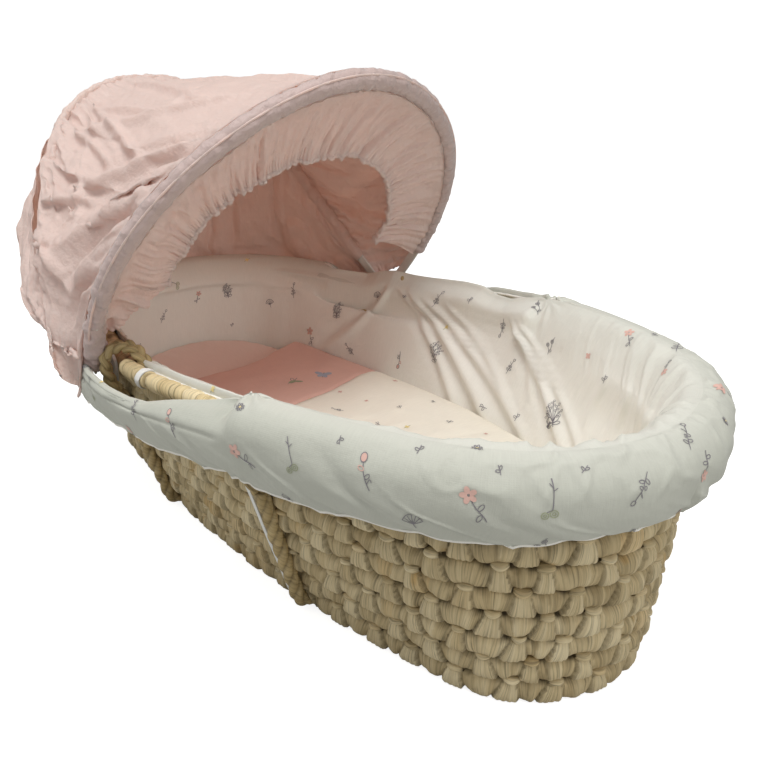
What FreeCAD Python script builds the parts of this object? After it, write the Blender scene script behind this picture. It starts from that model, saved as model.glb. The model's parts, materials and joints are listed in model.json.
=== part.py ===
import FreeCAD, Part
import Sketcher
import os
import math

# Woven baby cradle with a padded cotton dressing, bedding, two rope handles and a
# folding two-hoop hood.
# Frame: +X towards the foot end, -Y the near side, +Z up, origin in the middle of the
# face the basket rests on. Millimetres; angles in degrees.
#
# Most plans are four-arc ovals given as (half length, half width, end radius).

Vector = FreeCAD.Vector
doc = FreeCAD.newDocument("cradle")

# ---------------------------------------------------------------- driving dimensions
DIMENSIONS = [
    # wall coils: row k has its half length, half width and end radius from
    # const + lin * k - quad * k^2
    ("row_pitch", 24.5), ("row_gap", 0.3), ("coil_width", 20.0), ("coil_round", 9.0),
    ("len_const", 376.37), ("len_lin", 3.657), ("len_quad", 0.2286),
    ("wid_const", 137.14), ("wid_lin", 9.786), ("wid_quad", 0.2286),
    ("end_const", 111.5), ("end_lin", 6.5),
    # base mat
    ("base_low", 16.6), ("base_thick", 16.4), ("base_width", 22.0), ("base_round", 7.0),
    ("base_gap", 0.3), ("base_clear", 0.5),
    # rope slings, their notches in the first row, and the tie tape
    ("sling_x", 125.0), ("sling_dia", 14.0), ("sling_in", 142.2), ("sling_bend", 8.6),
    ("sling_lean", 19.5), ("sling_top", 147.4), ("sling_lift", 0.1),
    ("notch_high", 16.3), ("notch_wide", 18.0),
    ("tape_x", 110.0), ("tape_wide", 6.0), ("tape_thick", 1.2), ("tape_shift", 1.9),
    ("tape_end", 60.0), ("tape_clear", 2.0),
    # padded rim roll; mid and rise give a line z = mid + rise * x / half_len
    ("pad_len", 412.5), ("pad_wid", 234.5), ("pad_end", 192.5),
    ("pad_in_len", 366.0), ("pad_in_wid", 175.8), ("pad_in_end", 138.5),
    ("pad_high", 160.0), ("rim_out_round", 22.0), ("rim_in_round", 13.0),
    ("crest_mid", 230.0), ("crest_rise", 20.0), ("pad_low_mid", 180.0),
    ("hem_mid", 153.0), ("hem_rise", 33.0),
    ("half_len", 420.0), ("half_wid", 242.0), ("half_end", 200.0),
    ("groove_len", 392.5), ("groove_wid", 226.0), ("groove_end", 188.0),
    ("groove_in_len", 370.0), ("groove_in_wid", 179.8), ("groove_in_end", 142.5),
    ("groove_top", 197.0), ("step_clear", 0.4), ("step_out", 1.0), ("step_in", 3.0),
    ("groove_deep", 120.0),
    # slits in the rim, cut downwards from slit_from
    ("slit_head", 245.0), ("slit_foot", 132.0), ("slit_wid", 230.0), ("slit_from", 270.0),
    ("slit_deep", 160.0), ("opening_foot", 131.0), ("opening_extra", 14.0),
    ("opening_deep", 90.0),
    # outer skirt and the elastic in its hem
    ("skirt_taper", 8.0), ("skirt_thick", 2.0), ("skirt_low", 108.0), ("skirt_high", 222.0),
    ("skirt_drop", 24.0), ("elastic_thick", 3.0), ("elastic_inset", 11.0),
    ("elastic_side_inset", 10.0), ("elastic_round", 1.2),
    # inner lining
    ("liner_low", 34.2), ("liner_high", 200.0), ("liner_thick", 3.0),
    ("liner_len_low", 358.3), ("liner_wid_low", 125.2), ("liner_end_low", 96.5),
    ("liner_len_top", 365.0), ("liner_wid_top", 174.8), ("liner_end_top", 137.5),
    ("floor_clear", 0.6), ("floor_thick", 2.0), ("floor_round", 0.6),
    # bedding
    ("mattress_low", 36.8), ("mattress_top", 85.0), ("mattress_len", 354.0),
    ("mattress_wid", 133.9), ("mattress_end", 105.0), ("mattress_taper", 15.0),
    ("mattress_len_taper", 2.5), ("sheet_thick", 1.2), ("sheet_clear", 0.3),
    ("sheet_top_clear", 0.4),
    ("coverlet_low", 87.2), ("coverlet_top", 104.0), ("coverlet_len", 355.8),
    ("coverlet_wid", 136.4), ("coverlet_end", 106.0), ("band_head", 220.0),
    ("band_foot", 75.0), ("band_gap", 0.4), ("band_drop", 1.0),
    # hood pivots and hoops; heights along a hoop are measured from the pivot axis
    ("pivot_x", -149.0), ("pivot_z", 186.3), ("front_tilt", 33.0), ("rear_tilt", -44.5),
    ("front_foot", 211.0), ("front_wide", 222.9), ("front_side", 260.7),
    ("front_end", 163.3), ("front_top", 343.7), ("front_bend", 30.0),
    ("rear_foot", 203.5), ("rear_end", 166.0), ("rear_top", 368.8), ("rear_bend", 60.0),
    ("rear_bend_high", 6.0), ("strip_wide", 12.0), ("strip_thick", 2.5),
    ("foot_drop", 9.0), ("rivet_dia", 6.0), ("rivet_play", 0.06),
    # padding on the hoops
    ("binding_dia", 19.0), ("binding_bore", 0.8), ("piping_dia", 3.2),
    ("piping_shift", 1.9), ("channel_deep", 10.0), ("channel_wide", 18.0),
    ("channel_bore", 1.0), ("channel_low", 60.0),
    # frill inside the front hoop
    ("frill_in_top", 249.7), ("frill_in_end", 144.5), ("frill_low", 95.0),
    ("frill_thick", 3.0), ("frill_gap", 0.5), ("frill_elastic_gap", 0.4),
    ("frill_elastic_deep", 3.0), ("frill_elastic_wide", 5.0),
    # canopy and rear panel
    ("canopy_thick", 2.0), ("hem_out", 7.0), ("hem_high", 212.0), ("panel_edge", 172.0),
    ("panel_elastic_drop", 4.4), ("panel_elastic_high", 4.0), ("panel_elastic_deep", 3.0),
    # clips at the hoop feet
    ("clip_y", 191.2), ("clip_half", 13.0), ("clip_low", 20.0), ("clip_arc", 13.2),
    ("clip_thick", 3.6), ("rivet_len", 22.0), ("head_y", 212.8), ("head_dia", 10.0),
    ("head_thick", 1.4),
    # handles
    ("grip_len", 208.0), ("grip_dia", 18.0), ("grip_y", 200.0), ("grip_z", 207.0),
    ("grip_round", 5.0), ("leg_dia", 13.0), ("leg_bend", 12.0), ("leg_low", 151.0),
    ("leg_gap", 0.3), ("grip_tape_x", -48.0), ("grip_tape_wide", 9.0),
    ("grip_tape_out", 1.6), ("grip_tape_in", 0.3),
]

# extents of cutting shapes, well beyond the cradle
FAR_X = 600.0
FAR_Y = 300.0
FAR_ABOVE = 500.0
FAR_BELOW = -100.0
THROUGH = 700.0


class Driven:
    """A number that carries the spreadsheet expression it comes from."""

    def __init__(self, value, text):
        self.value = value
        self.text = text

    def __add__(self, other):
        return joined(self, "+", other, lambda p, q: p + q)

    def __radd__(self, other):
        return joined(other, "+", self, lambda p, q: p + q)

    def __sub__(self, other):
        return joined(self, "-", other, lambda p, q: p - q)

    def __rsub__(self, other):
        return joined(other, "-", self, lambda p, q: p - q)

    def __mul__(self, other):
        return joined(self, "*", other, lambda p, q: p * q)

    def __rmul__(self, other):
        return joined(other, "*", self, lambda p, q: p * q)

    def __truediv__(self, other):
        return joined(self, "/", other, lambda p, q: p / q)

    def __pow__(self, power):
        return Driven(self.value ** power, "(%s^%d)" % (self.text, power))

    def __neg__(self):
        return Driven(-self.value, "(-%s)" % self.text)


def joined(left, sign, right, work):
    left, right = [x if isinstance(x, Driven) else Driven(float(x), "(%r)" % x)
                   for x in (left, right)]
    return Driven(work(left.value, right.value), "(%s%s%s)" % (left.text, sign, right.text))


def root(x):
    return Driven(math.sqrt(x.value), "sqrt(%s)" % x.text)


def trig(word, angle):
    """sin, cos or tan of a driven angle in degrees."""
    value = getattr(math, word)(math.radians(angle.value))
    return Driven(value, "%s(%s)" % (word, angle.text))


def number(x):
    return x.value if isinstance(x, Driven) else float(x)


def bind(target, path, x):
    """Ties a property to the sheet if x is driven by it."""
    if isinstance(x, Driven):
        target.setExpression(path, x.text)


class Sizes:
    """Dimensions by alias."""


dims = Sizes()  # driven values, for geometry bound to the sheet
size = Sizes()  # plain numbers, for points worked out here
sheet = doc.addObject("Spreadsheet::Sheet", "Dims")
for row, (alias, value) in enumerate(DIMENSIONS, 1):
    cell = "B%d" % row
    sheet.set("A%d" % row, alias)
    sheet.set(cell, str(value))
    sheet.setAlias(cell, alias)
    setattr(dims, alias, Driven(value, "Dims." + alias))
    setattr(size, alias, value)
doc.recompute()


# ---------------------------------------------------------------- sketches
parts = []


def new_body(name):
    body = doc.addObject("PartDesign::Body", name)
    body.Label = name
    parts.append(body)
    return body


def new_sketch(body, name, plane, offset=0):
    """Sketch axes: XY_Plane X, Y; XZ_Plane X, Z facing -Y; YZ_Plane Y, Z facing +X."""
    sketch = body.newObject("Sketcher::SketchObject", name)
    support = [f for f in body.Origin.OriginFeatures if f.Role == plane][0]
    sketch.AttachmentSupport = [(support, "")]
    sketch.MapMode = "FlatFace"
    sketch.AttachmentOffset = FreeCAD.Placement(Vector(0, 0, number(offset)),
                                                FreeCAD.Rotation())
    bind(sketch, "AttachmentOffset.Base.z", offset)
    return sketch


def constrain(sketch, *terms):
    """Adds a constraint whose last term is a size."""
    index = sketch.addConstraint(Sketcher.Constraint(*terms[:-1], number(terms[-1])))
    bind(sketch, "Constraints[%d]" % index, terms[-1])


def lock(sketch, geo, vertex, x, y):
    """Holds one vertex at (x, y) from the sketch origin."""
    constrain(sketch, "DistanceX", -1, 1, geo, vertex, x)
    constrain(sketch, "DistanceY", -1, 1, geo, vertex, y)


def outline(sketch, points, closed=True):
    """Chain of lines and arcs. A point is (x, y) where a line leaves it for the next
    point, or (x, y, centre, radius, ccw) where an arc does."""
    count = len(points)
    places = [(number(p[0]), number(p[1])) for p in points]
    last = count if closed else count - 1
    pieces = []  # (geometry, start vertex, end vertex)
    for k in range(last):
        start, end = places[k], places[(k + 1) % count]
        if len(points[k]) == 2:
            shape = Part.LineSegment(Vector(start[0], start[1], 0),
                                     Vector(end[0], end[1], 0))
            pieces.append((sketch.addGeometry(shape, False), 1, 2))
            continue
        centre, radius, ccw = points[k][2:]
        cx, cy = number(centre[0]), number(centre[1])
        if not ccw:
            start, end = end, start
        from_angle = math.atan2(start[1] - cy, start[0] - cx)
        to_angle = math.atan2(end[1] - cy, end[0] - cx)
        while to_angle <= from_angle:
            to_angle += 2 * math.pi
        ring = Part.Circle(Vector(cx, cy, 0), Vector(0, 0, 1), number(radius))
        geo = sketch.addGeometry(Part.ArcOfCircle(ring, from_angle, to_angle), False)
        pieces.append((geo, 1, 2) if ccw else (geo, 2, 1))
    for k, (geo, start, end) in enumerate(pieces):
        lock(sketch, geo, start, *points[k][:2])
        if k + 1 < last or closed:
            following, vertex = pieces[(k + 1) % last][:2]
            sketch.addConstraint(
                Sketcher.Constraint("Coincident", geo, end, following, vertex))
        else:
            lock(sketch, geo, end, *points[-1][:2])
        if len(points[k]) > 2:
            constrain(sketch, "Radius", geo, points[k][3])


def box(sketch, x0, y0, x1, y1):
    outline(sketch, [(x0, y0), (x1, y0), (x1, y1), (x0, y1)])


def centred_box(sketch, cx, cy, wide, high):
    box(sketch, cx - wide / 2, cy - high / 2, cx + wide / 2, cy + high / 2)


def circle(sketch, x, y, diameter):
    ring = Part.Circle(Vector(number(x), number(y), 0), Vector(0, 0, 1),
                       number(diameter) / 2)
    geo = sketch.addGeometry(ring, False)
    lock(sketch, geo, 3, x, y)
    constrain(sketch, "Diameter", geo, diameter)


def side_radius(length, width, end):
    """Radius of an oval's long side arcs."""
    return ((length - end) ** 2 + width ** 2 - end ** 2) / (2 * (width - end))


def oval_joint(length, width, end):
    """Point in the +X +Y quarter where an oval's end arc meets its side arc."""
    side = side_radius(length, width, end)
    return (length - end) * side / (side - end), (side - width) * end / (side - end)


def oval(sketch, length, width, end):
    side = side_radius(length, width, end)
    x, y = oval_joint(length, width, end)
    outline(sketch, [
        (x, -y, (length - end, 0), end, True),
        (x, y, (0, width - side), side, True),
        (-x, y, (end - length, 0), end, True),
        (-x, -y, (0, side - width), side, True),
    ])


def grown(oval_size, amount):
    return tuple(value + amount for value in oval_size)


def oval_named(prefix, suffix=""):
    """The oval whose three aliases share a prefix and suffix."""
    return tuple(getattr(dims, prefix + word + suffix) for word in ("_len", "_wid", "_end"))


# ---------------------------------------------------------------- features
def set_symmetric(feature):
    # releases without SideType have the older Midplane switch
    if hasattr(feature, "SideType"):
        feature.SideType = "Symmetric"
    else:
        feature.Midplane = True


def pad(body, sketch, length, symmetric=False, reverse=False):
    feature = body.newObject("PartDesign::Pad", sketch.Name + "_pad")
    feature.Profile = sketch
    feature.Length = number(length)
    bind(feature, "Length", length)
    if symmetric:
        set_symmetric(feature)
    feature.Reversed = reverse
    doc.recompute()
    return feature


def pocket(body, sketch, depth, symmetric=False):
    doc.recompute()
    before = body.Shape.Volume
    feature = body.newObject("PartDesign::Pocket", sketch.Name + "_cut")
    feature.Profile = sketch
    feature.Length = number(depth)
    bind(feature, "Length", depth)
    if symmetric:
        set_symmetric(feature)
    doc.recompute()
    if not (body.Shape.Volume < before - 1.0):
        raise RuntimeError("the pocket %s removed nothing" % feature.Name)
    return feature


def fillet(body, base, chosen, radius, name):
    """Rounds the base feature's edges for which chosen(edge) is true."""
    names = ["Edge%d" % i for i, edge in enumerate(base.Shape.Edges, 1) if chosen(edge)]
    feature = body.newObject("PartDesign::Fillet", name)
    feature.Base = (base, names)
    feature.Radius = number(radius)
    bind(feature, "Radius", radius)
    doc.recompute()


def is_level(edge):
    return edge.BoundBox.ZLength < 1e-4 and edge.Length > 1.0


def sweep(body, name, section, spine):
    doc.recompute()
    feature = body.newObject("PartDesign::AdditivePipe", name + "_sweep")
    feature.Profile = section
    feature.Spine = (spine, [])
    doc.recompute()


def oval_loft(body, low, high, z_low, z_high, hollow=False):
    """Straight loft between two ovals, added to the body or taken out of it."""
    kind, suffix, end = ("Subtractive", "_in", "_inner") if hollow else ("Additive", "", "_outer")
    sections = []
    for level, oval_size, z in (("_low", low, z_low), ("_high", high, z_high)):
        sketch = new_sketch(body, body.Name + level + suffix, "XY_Plane", z)
        oval(sketch, *oval_size)
        sections.append(sketch)
    doc.recompute()
    feature = body.newObject("PartDesign::%sLoft" % kind, body.Name + end)
    feature.Profile = sections[0]
    feature.Sections = [(sections[1], "")]
    feature.Ruled = True
    doc.recompute()


def taper_shell(name, low, high, z_low, z_high, thick):
    """Thin ring between two ovals, open above and below."""
    body = new_body(name)
    oval_loft(body, low, high, z_low, z_high)
    oval_loft(body, grown(low, -thick), grown(high, -thick), z_low, z_high, hollow=True)
    return body


def slope_cut(body, name, mid, rise, above):
    """Cuts away all above or below the line z = mid + rise * x / half_len."""
    run = rise * FAR_X / dims.half_len
    far = FAR_ABOVE if above else FAR_BELOW
    sketch = new_sketch(body, name, "XZ_Plane")
    outline(sketch, [(-FAR_X, mid - run), (FAR_X, mid + run), (FAR_X, far), (-FAR_X, far)])
    return pocket(body, sketch, THROUGH, symmetric=True)


# ---------------------------------------------------------------- the woven basket
def row_oval(row, inset=0):
    """Outline of a wall row, counted from 1 at the bottom, moved inwards by inset."""
    return (dims.len_const + dims.len_lin * row - dims.len_quad * row ** 2 - inset,
            dims.wid_const + dims.wid_lin * row - dims.wid_quad * row ** 2 - inset,
            dims.end_const + dims.end_lin * row - inset)


def coil(name, outer, inner, low, high, rounding):
    """Oval ring, or a disc if inner is None, with rounded edges."""
    body = new_body(name)
    sketch = new_sketch(body, name + "_plan", "XY_Plane", low)
    oval(sketch, *outer)
    if inner is not None:
        oval(sketch, *inner)
    block = pad(body, sketch, high)
    fillet(body, block, is_level, rounding, name + "_round")
    return body


def build_walls():
    """Eight coil rows, each a little wider than the one below."""
    rows = [coil("wall_coil_%02d" % row, row_oval(row), row_oval(row, dims.coil_width),
                 dims.row_pitch * (row - 1), dims.row_pitch - dims.row_gap, dims.coil_round)
            for row in range(1, 9)]
    # the slings pass under the first row through shallow notches; the foot-end notch
    # is wider, to take the tie tape as well
    half = dims.notch_wide / 2
    sketch = new_sketch(rows[0], "sling_notches", "XZ_Plane")
    for x0, x1 in ((-(dims.sling_x + half), -(dims.sling_x - half)),
                   (dims.tape_x - dims.tape_wide / 2 - dims.tape_clear, dims.sling_x + half)):
        box(sketch, x0, -5, x1, dims.notch_high)
    pocket(rows[0], sketch, THROUGH, symmetric=True)


def build_base():
    """Four oval coils and a core, raised inside the first row."""
    for ring in range(1, 6):
        outset = (dims.coil_width + dims.base_clear
                  + (dims.base_width + dims.base_gap) * (ring - 1))
        is_core = ring == 5
        coil("base_core" if is_core else "base_coil_%02d" % ring, row_oval(1, outset),
             None if is_core else row_oval(1, outset + dims.base_width),
             dims.base_low, dims.base_thick, dims.base_round)


wrap_y = dims.sling_in
wrap_z = dims.notch_high + dims.sling_lift


def wrap_points(radius):
    """Far-side points of a wrap round the bottom edge at (wrap_y, wrap_z): its y at
    sling_top, then y and z where the leaning wall line meets the bend."""
    bend_y = wrap_y + radius * trig("cos", dims.sling_lean)
    bend_z = wrap_z - radius * trig("sin", dims.sling_lean)
    top_y = bend_y + (dims.sling_top - bend_z) * trig("tan", dims.sling_lean)
    return top_y, bend_y, bend_z


def build_slings():
    """Two rope slings: down each long wall and under the base."""
    radius = dims.sling_bend
    top_y, bend_y, bend_z = wrap_points(radius)
    for name, x in (("rope_sling_head", -dims.sling_x), ("rope_sling_foot", dims.sling_x)):
        body = new_body(name)
        spine = new_sketch(body, name + "_path", "YZ_Plane", x)
        outline(spine, [
            (-top_y, dims.sling_top),
            (-bend_y, bend_z, (-wrap_y, wrap_z), radius, True),
            (-wrap_y, wrap_z - radius),
            (wrap_y, wrap_z - radius, (wrap_y, wrap_z), radius, True),
            (bend_y, bend_z),
            (top_y, dims.sling_top),
        ], closed=False)
        section = new_sketch(body, name + "_section", "XY_Plane", dims.sling_top)
        circle(section, x, -top_y, dims.sling_dia)
        sweep(body, name, section, spine)


def build_tie_tape():
    """Narrow tape beside the foot-end sling on the near side."""
    inner = dims.sling_bend - dims.sling_dia / 2 + dims.tape_shift
    outer = inner + dims.tape_thick
    top_out, bend_y_out, bend_z_out = wrap_points(outer)
    top_in, bend_y_in, bend_z_in = wrap_points(inner)
    centre = (-wrap_y, wrap_z)
    body = new_body("tie_tape_near")
    sketch = new_sketch(body, "tie_tape_side", "YZ_Plane", dims.tape_x)
    outline(sketch, [
        (-top_out, dims.sling_top),
        (-bend_y_out, bend_z_out, centre, outer, True),
        (-wrap_y, wrap_z - outer),
        (-dims.tape_end, wrap_z - outer),
        (-dims.tape_end, wrap_z - inner),
        (-wrap_y, wrap_z - inner, centre, inner, False),
        (-bend_y_in, bend_z_in),
        (-top_in, dims.sling_top),
    ])
    pad(body, sketch, dims.tape_wide, symmetric=True)


# ---------------------------------------------------------------- the cotton dressing
def middle(edge):
    return edge.valueAt((edge.FirstParameter + edge.LastParameter) / 2)


def on_crest(edge):
    """Whether an edge lies in the sloping crest plane."""
    points = (edge.Vertexes[0].Point, edge.Vertexes[-1].Point, middle(edge))
    return all(abs(p.z - (size.crest_mid + size.crest_rise * p.x / size.half_len)) < 0.05
               for p in points)


def roundness(edge, half_x, half_y):
    """Below 1 if the edge's middle is inside a blunt oval, above 1 outside it."""
    point = middle(edge)
    return (abs(point.x) / half_x) ** 2.3 + (abs(point.y) / half_y) ** 2.3


def ring_pocket(body, name, z, outer, inner):
    sketch = new_sketch(body, name, "XY_Plane", z)
    oval(sketch, *outer)
    oval(sketch, *inner)
    pocket(body, sketch, dims.groove_deep)


def slit_pocket(body, name, x_foot, width, depth):
    """Cuts both long sides from slit_head to x_foot, between the groove's inner wall
    and a side arc at the given half width."""
    out_radius = side_radius(*oval_named("groove"))
    in_radius = side_radius(*oval_named("groove_in"))
    out_centre = width - out_radius
    in_centre = dims.groove_in_wid - in_radius
    x_head = -dims.slit_head

    def out_y(x):
        return out_centre + root(out_radius ** 2 - x ** 2)

    def in_y(x):
        return in_centre + root(in_radius ** 2 - x ** 2)

    sketch = new_sketch(body, name, "XY_Plane", dims.slit_from)
    for sign in (-1, 1):
        outline(sketch, [
            (x_head, sign * in_y(x_head)),
            (x_head, sign * out_y(x_head), (0, sign * out_centre), out_radius, sign < 0),
            (x_foot, sign * out_y(x_foot)),
            (x_foot, sign * in_y(x_foot), (0, sign * in_centre), in_radius, sign > 0),
        ])
    pocket(body, sketch, depth)


def build_rim_padding():
    """Padded rim roll: an upside-down channel that sits over the top coil."""
    body = new_body("rim_padding")
    sketch = new_sketch(body, "rim_plan", "XY_Plane", dims.skirt_low)
    oval(sketch, *oval_named("pad"))
    oval(sketch, *oval_named("pad_in"))
    pad(body, sketch, dims.pad_high)
    crest = slope_cut(body, "rim_crest", dims.crest_mid, dims.crest_rise, above=True)
    fillet(body, crest, lambda edge: on_crest(edge) and roundness(edge, 389.0, 205.0) > 1.0,
           dims.rim_out_round, "rim_outer_round")
    fillet(body, body.Tip, lambda edge: on_crest(edge) and roundness(edge, 374.0, 184.0) < 1.0,
           dims.rim_in_round, "rim_inner_round")
    slope_cut(body, "rim_underside", dims.pad_low_mid, dims.hem_rise, above=False)
    # the inner lip stops above the seventh coil row
    ring_pocket(body, "rim_inner_step", dims.row_pitch * 7 + dims.step_clear,
                grown(oval_named("groove_in"), dims.step_out),
                grown(oval_named("pad_in"), -dims.step_in))
    ring_pocket(body, "rim_groove", dims.groove_top, oval_named("groove"),
                oval_named("groove_in"))
    slit_pocket(body, "rim_slits", dims.slit_foot, dims.slit_wid, dims.slit_deep)
    # in the head part of the slits the outer lip is lower, so that the hoops can lie back
    slit_pocket(body, "hood_opening", -dims.opening_foot,
                dims.slit_wid + dims.opening_extra, dims.opening_deep)


def build_skirt():
    """Outer skirt of the dressing, cut to a sloping hem."""
    top = oval_named("half")
    body = taper_shell("liner_skirt", grown(top, -dims.skirt_taper), top,
                       dims.skirt_low, dims.skirt_high, dims.skirt_thick)
    slope_cut(body, "skirt_top_line", dims.crest_mid - dims.skirt_drop, dims.crest_rise,
              above=True)
    slope_cut(body, "skirt_hem_line", dims.hem_mid, dims.hem_rise, above=False)


def build_hem_elastic():
    """Oval ring in the sloping hem plane."""
    outer = (dims.half_len - dims.elastic_inset, dims.half_wid - dims.elastic_side_inset,
             dims.half_end - dims.elastic_inset)
    above_hem = 2.0
    body = new_body("skirt_hem_elastic")
    sketch = new_sketch(body, "hem_elastic_plan", "XY_Plane")
    oval(sketch, *outer)
    oval(sketch, *grown(outer, -dims.elastic_thick))
    ring = pad(body, sketch, dims.elastic_thick, symmetric=True)
    fillet(body, ring, is_level, dims.elastic_round, "hem_elastic_round")
    slope = math.degrees(math.atan(size.hem_rise / size.half_len))
    body.Placement = FreeCAD.Placement(Vector(0, 0, size.hem_mid + above_hem),
                                       FreeCAD.Rotation(Vector(0, 1, 0), -slope))


def build_lining():
    """Inner lining of the walls and its floor."""
    low = oval_named("liner", "_low")
    taper_shell("liner_wall", low, oval_named("liner", "_top"),
                dims.liner_low, dims.liner_high, dims.liner_thick)
    coil("liner_floor", grown(low, -(dims.liner_thick + dims.floor_clear)), None,
         dims.liner_low, dims.floor_thick, dims.floor_round)


# ---------------------------------------------------------------- bedding
def build_mattress_and_sheet():
    top = oval_named("mattress")
    foot = (dims.mattress_len - dims.mattress_len_taper,
            dims.mattress_wid - dims.mattress_taper,
            dims.mattress_end - dims.mattress_taper)
    mattress = new_body("mattress")
    oval_loft(mattress, foot, top, dims.mattress_low, dims.mattress_top)

    # fitted sheet: a cap drawn over the mattress, open underneath; how far its top
    # ovals stand out from the mattress in length, width and end radius
    outer_margins = (1.6, 1.9, 1.2)
    inner_margins = (0.35, 0.42, 0.4)
    outer_top = tuple(value + more for value, more in zip(top, outer_margins))
    inner_top = tuple(value + more for value, more in zip(top, inner_margins))
    hollow_top = dims.mattress_top + dims.sheet_top_clear
    body = new_body("fitted_sheet")
    oval_loft(body, grown(foot, dims.sheet_clear + dims.sheet_thick), outer_top,
              dims.mattress_low, hollow_top + dims.sheet_thick)
    oval_loft(body, grown(foot, dims.sheet_clear), inner_top,
              dims.mattress_low, hollow_top, hollow=True)


def trim_coverlet(body, name, x0, x1):
    """Removes the cloth between two x stations."""
    cut_from, cut_deep = 140.0, 100.0
    sketch = new_sketch(body, name, "XY_Plane", cut_from)
    box(sketch, x0, -FAR_Y, x1, FAR_Y)
    pocket(body, sketch, cut_deep)


def build_coverlets():
    """Coverlet panel and a separate, slightly lower band on its head side."""
    low = oval_named("coverlet")
    flare = (1.0, 3.5, 2.8)  # growth of length, width and end radius up to the top
    high = tuple(value + more for value, more in zip(low, flare))

    panel = new_body("coverlet")
    oval_loft(panel, low, high, dims.coverlet_low, dims.coverlet_top)
    trim_coverlet(panel, "coverlet_ends", -FAR_X, -dims.band_foot)

    band = new_body("coverlet_band")
    oval_loft(band, low, high, dims.coverlet_low, dims.coverlet_top - dims.band_drop)
    trim_coverlet(band, "coverlet_band_ends", -FAR_X, -dims.band_head)
    trim_coverlet(band, "coverlet_band_foot", -dims.band_foot - dims.band_gap, FAR_X)


# ---------------------------------------------------------------- the hood
# Each hoop is drawn upright in its own plane as (y, height), with the pivot axis at
# height 0, and then tilted about that axis.
def hood_place(tilt):
    return FreeCAD.Placement(Vector(size.pivot_x, 0, size.pivot_z),
                             FreeCAD.Rotation(Vector(0, 1, 0), tilt))


def front_curve(outset=0.0):
    """Front hoop's +Y half, moved outwards: outward bend, side arc, top arc."""
    side_y = size.front_wide - size.front_side
    top_height = size.front_top - size.front_end
    span = size.front_side - size.front_end
    side_height = top_height - math.sqrt(span ** 2 - side_y ** 2)
    radius = size.front_side + outset
    # the bend touches the side arc from outside
    bend_y = size.front_foot + size.front_bend
    reach = size.front_side + size.front_bend
    bend_height = side_height - math.sqrt(reach ** 2 - (bend_y - side_y) ** 2)
    return {
        "side_centre": (side_y, side_height),
        "side_radius": radius,
        "top_height": top_height,
        "top_radius": size.front_end + outset,
        "bend_centre": (bend_y, bend_height),
        "bend_end": (side_y + (bend_y - side_y) / reach * radius,
                     side_height + (bend_height - side_height) / reach * radius),
        "joint": (side_y - side_y / span * radius,
                  side_height + (top_height - side_height) / span * radius),
    }


def rear_curve(outset=0.0):
    """Rear hoop's +Y half, moved outwards: bend, straight leg leaning in, top arc."""
    top_height = size.rear_top - size.rear_end
    bend_y = size.rear_foot - size.rear_bend
    bend_height = size.rear_bend_high
    # the leg is the outer tangent of the bend circle and the top circle
    gap_y, gap_height = -bend_y, top_height - bend_height
    turn = math.acos((size.rear_bend - size.rear_end) / math.hypot(gap_y, gap_height))
    normal = math.atan2(gap_height, gap_y) - turn
    across, up = math.cos(normal), math.sin(normal)
    bend_radius = size.rear_bend + outset
    top_radius = size.rear_end + outset
    return {
        "bend_centre": (bend_y, bend_height),
        "top_height": top_height,
        "top_radius": top_radius,
        "leg_low": (bend_y + bend_radius * across, bend_height + bend_radius * up),
        "leg_high": (top_radius * across, top_height + top_radius * up),
    }


def leg_y(curve, height):
    """y of the rear hoop's leg line at a height."""
    low, high = curve["leg_low"], curve["leg_high"]
    return low[0] + (height - low[1]) / (high[1] - low[1]) * (high[0] - low[0])


def front_path(whole):
    """Front hoop's centre line, with its feet or only its two side arcs and top."""
    curve = front_curve()
    joint_y, joint_height = curve["joint"]
    side_y, side_height = curve["side_centre"]
    bend_y, bend_height = curve["bend_centre"]
    end_y, end_height = curve["bend_end"]
    if whole:
        low_y, low_height = end_y, end_height
    else:
        low_y, low_height = dims.front_wide, side_height
    arcs = [
        (low_y, low_height, (side_y, side_height), dims.front_side, True),
        (joint_y, joint_height, (0, curve["top_height"]), dims.front_end, True),
        (-joint_y, joint_height, (-side_y, side_height), dims.front_side, True),
    ]
    if not whole:
        return arcs + [(-low_y, low_height)]
    foot, bend = dims.front_foot, dims.front_bend
    return [
        (foot, -dims.foot_drop),
        (foot, bend_height, (bend_y, bend_height), bend, False),
    ] + arcs + [
        (-end_y, end_height, (-bend_y, bend_height), bend, False),
        (-foot, bend_height),
        (-foot, -dims.foot_drop),
    ]


def rear_path(whole):
    """Rear hoop's centre line, with its feet or only from channel_low upwards."""
    curve = rear_curve()
    low_y, low_height = curve["leg_low"]
    high_y, high_height = curve["leg_high"]
    bend_y, bend_height = curve["bend_centre"]
    top = [
        (high_y, high_height, (0, curve["top_height"]), dims.rear_end, True),
        (-high_y, high_height),
    ]
    if not whole:
        y = leg_y(curve, size.channel_low)
        return [(y, dims.channel_low)] + top + [(-y, dims.channel_low)]
    foot, bend = dims.rear_foot, dims.rear_bend
    return [
        (foot, -dims.foot_drop),
        (foot, bend_height, (bend_y, bend_height), bend, True),
        (low_y, low_height),
    ] + top + [
        (-low_y, low_height, (-bend_y, bend_height), bend, True),
        (-foot, bend_height),
        (-foot, -dims.foot_drop),
    ]


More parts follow.
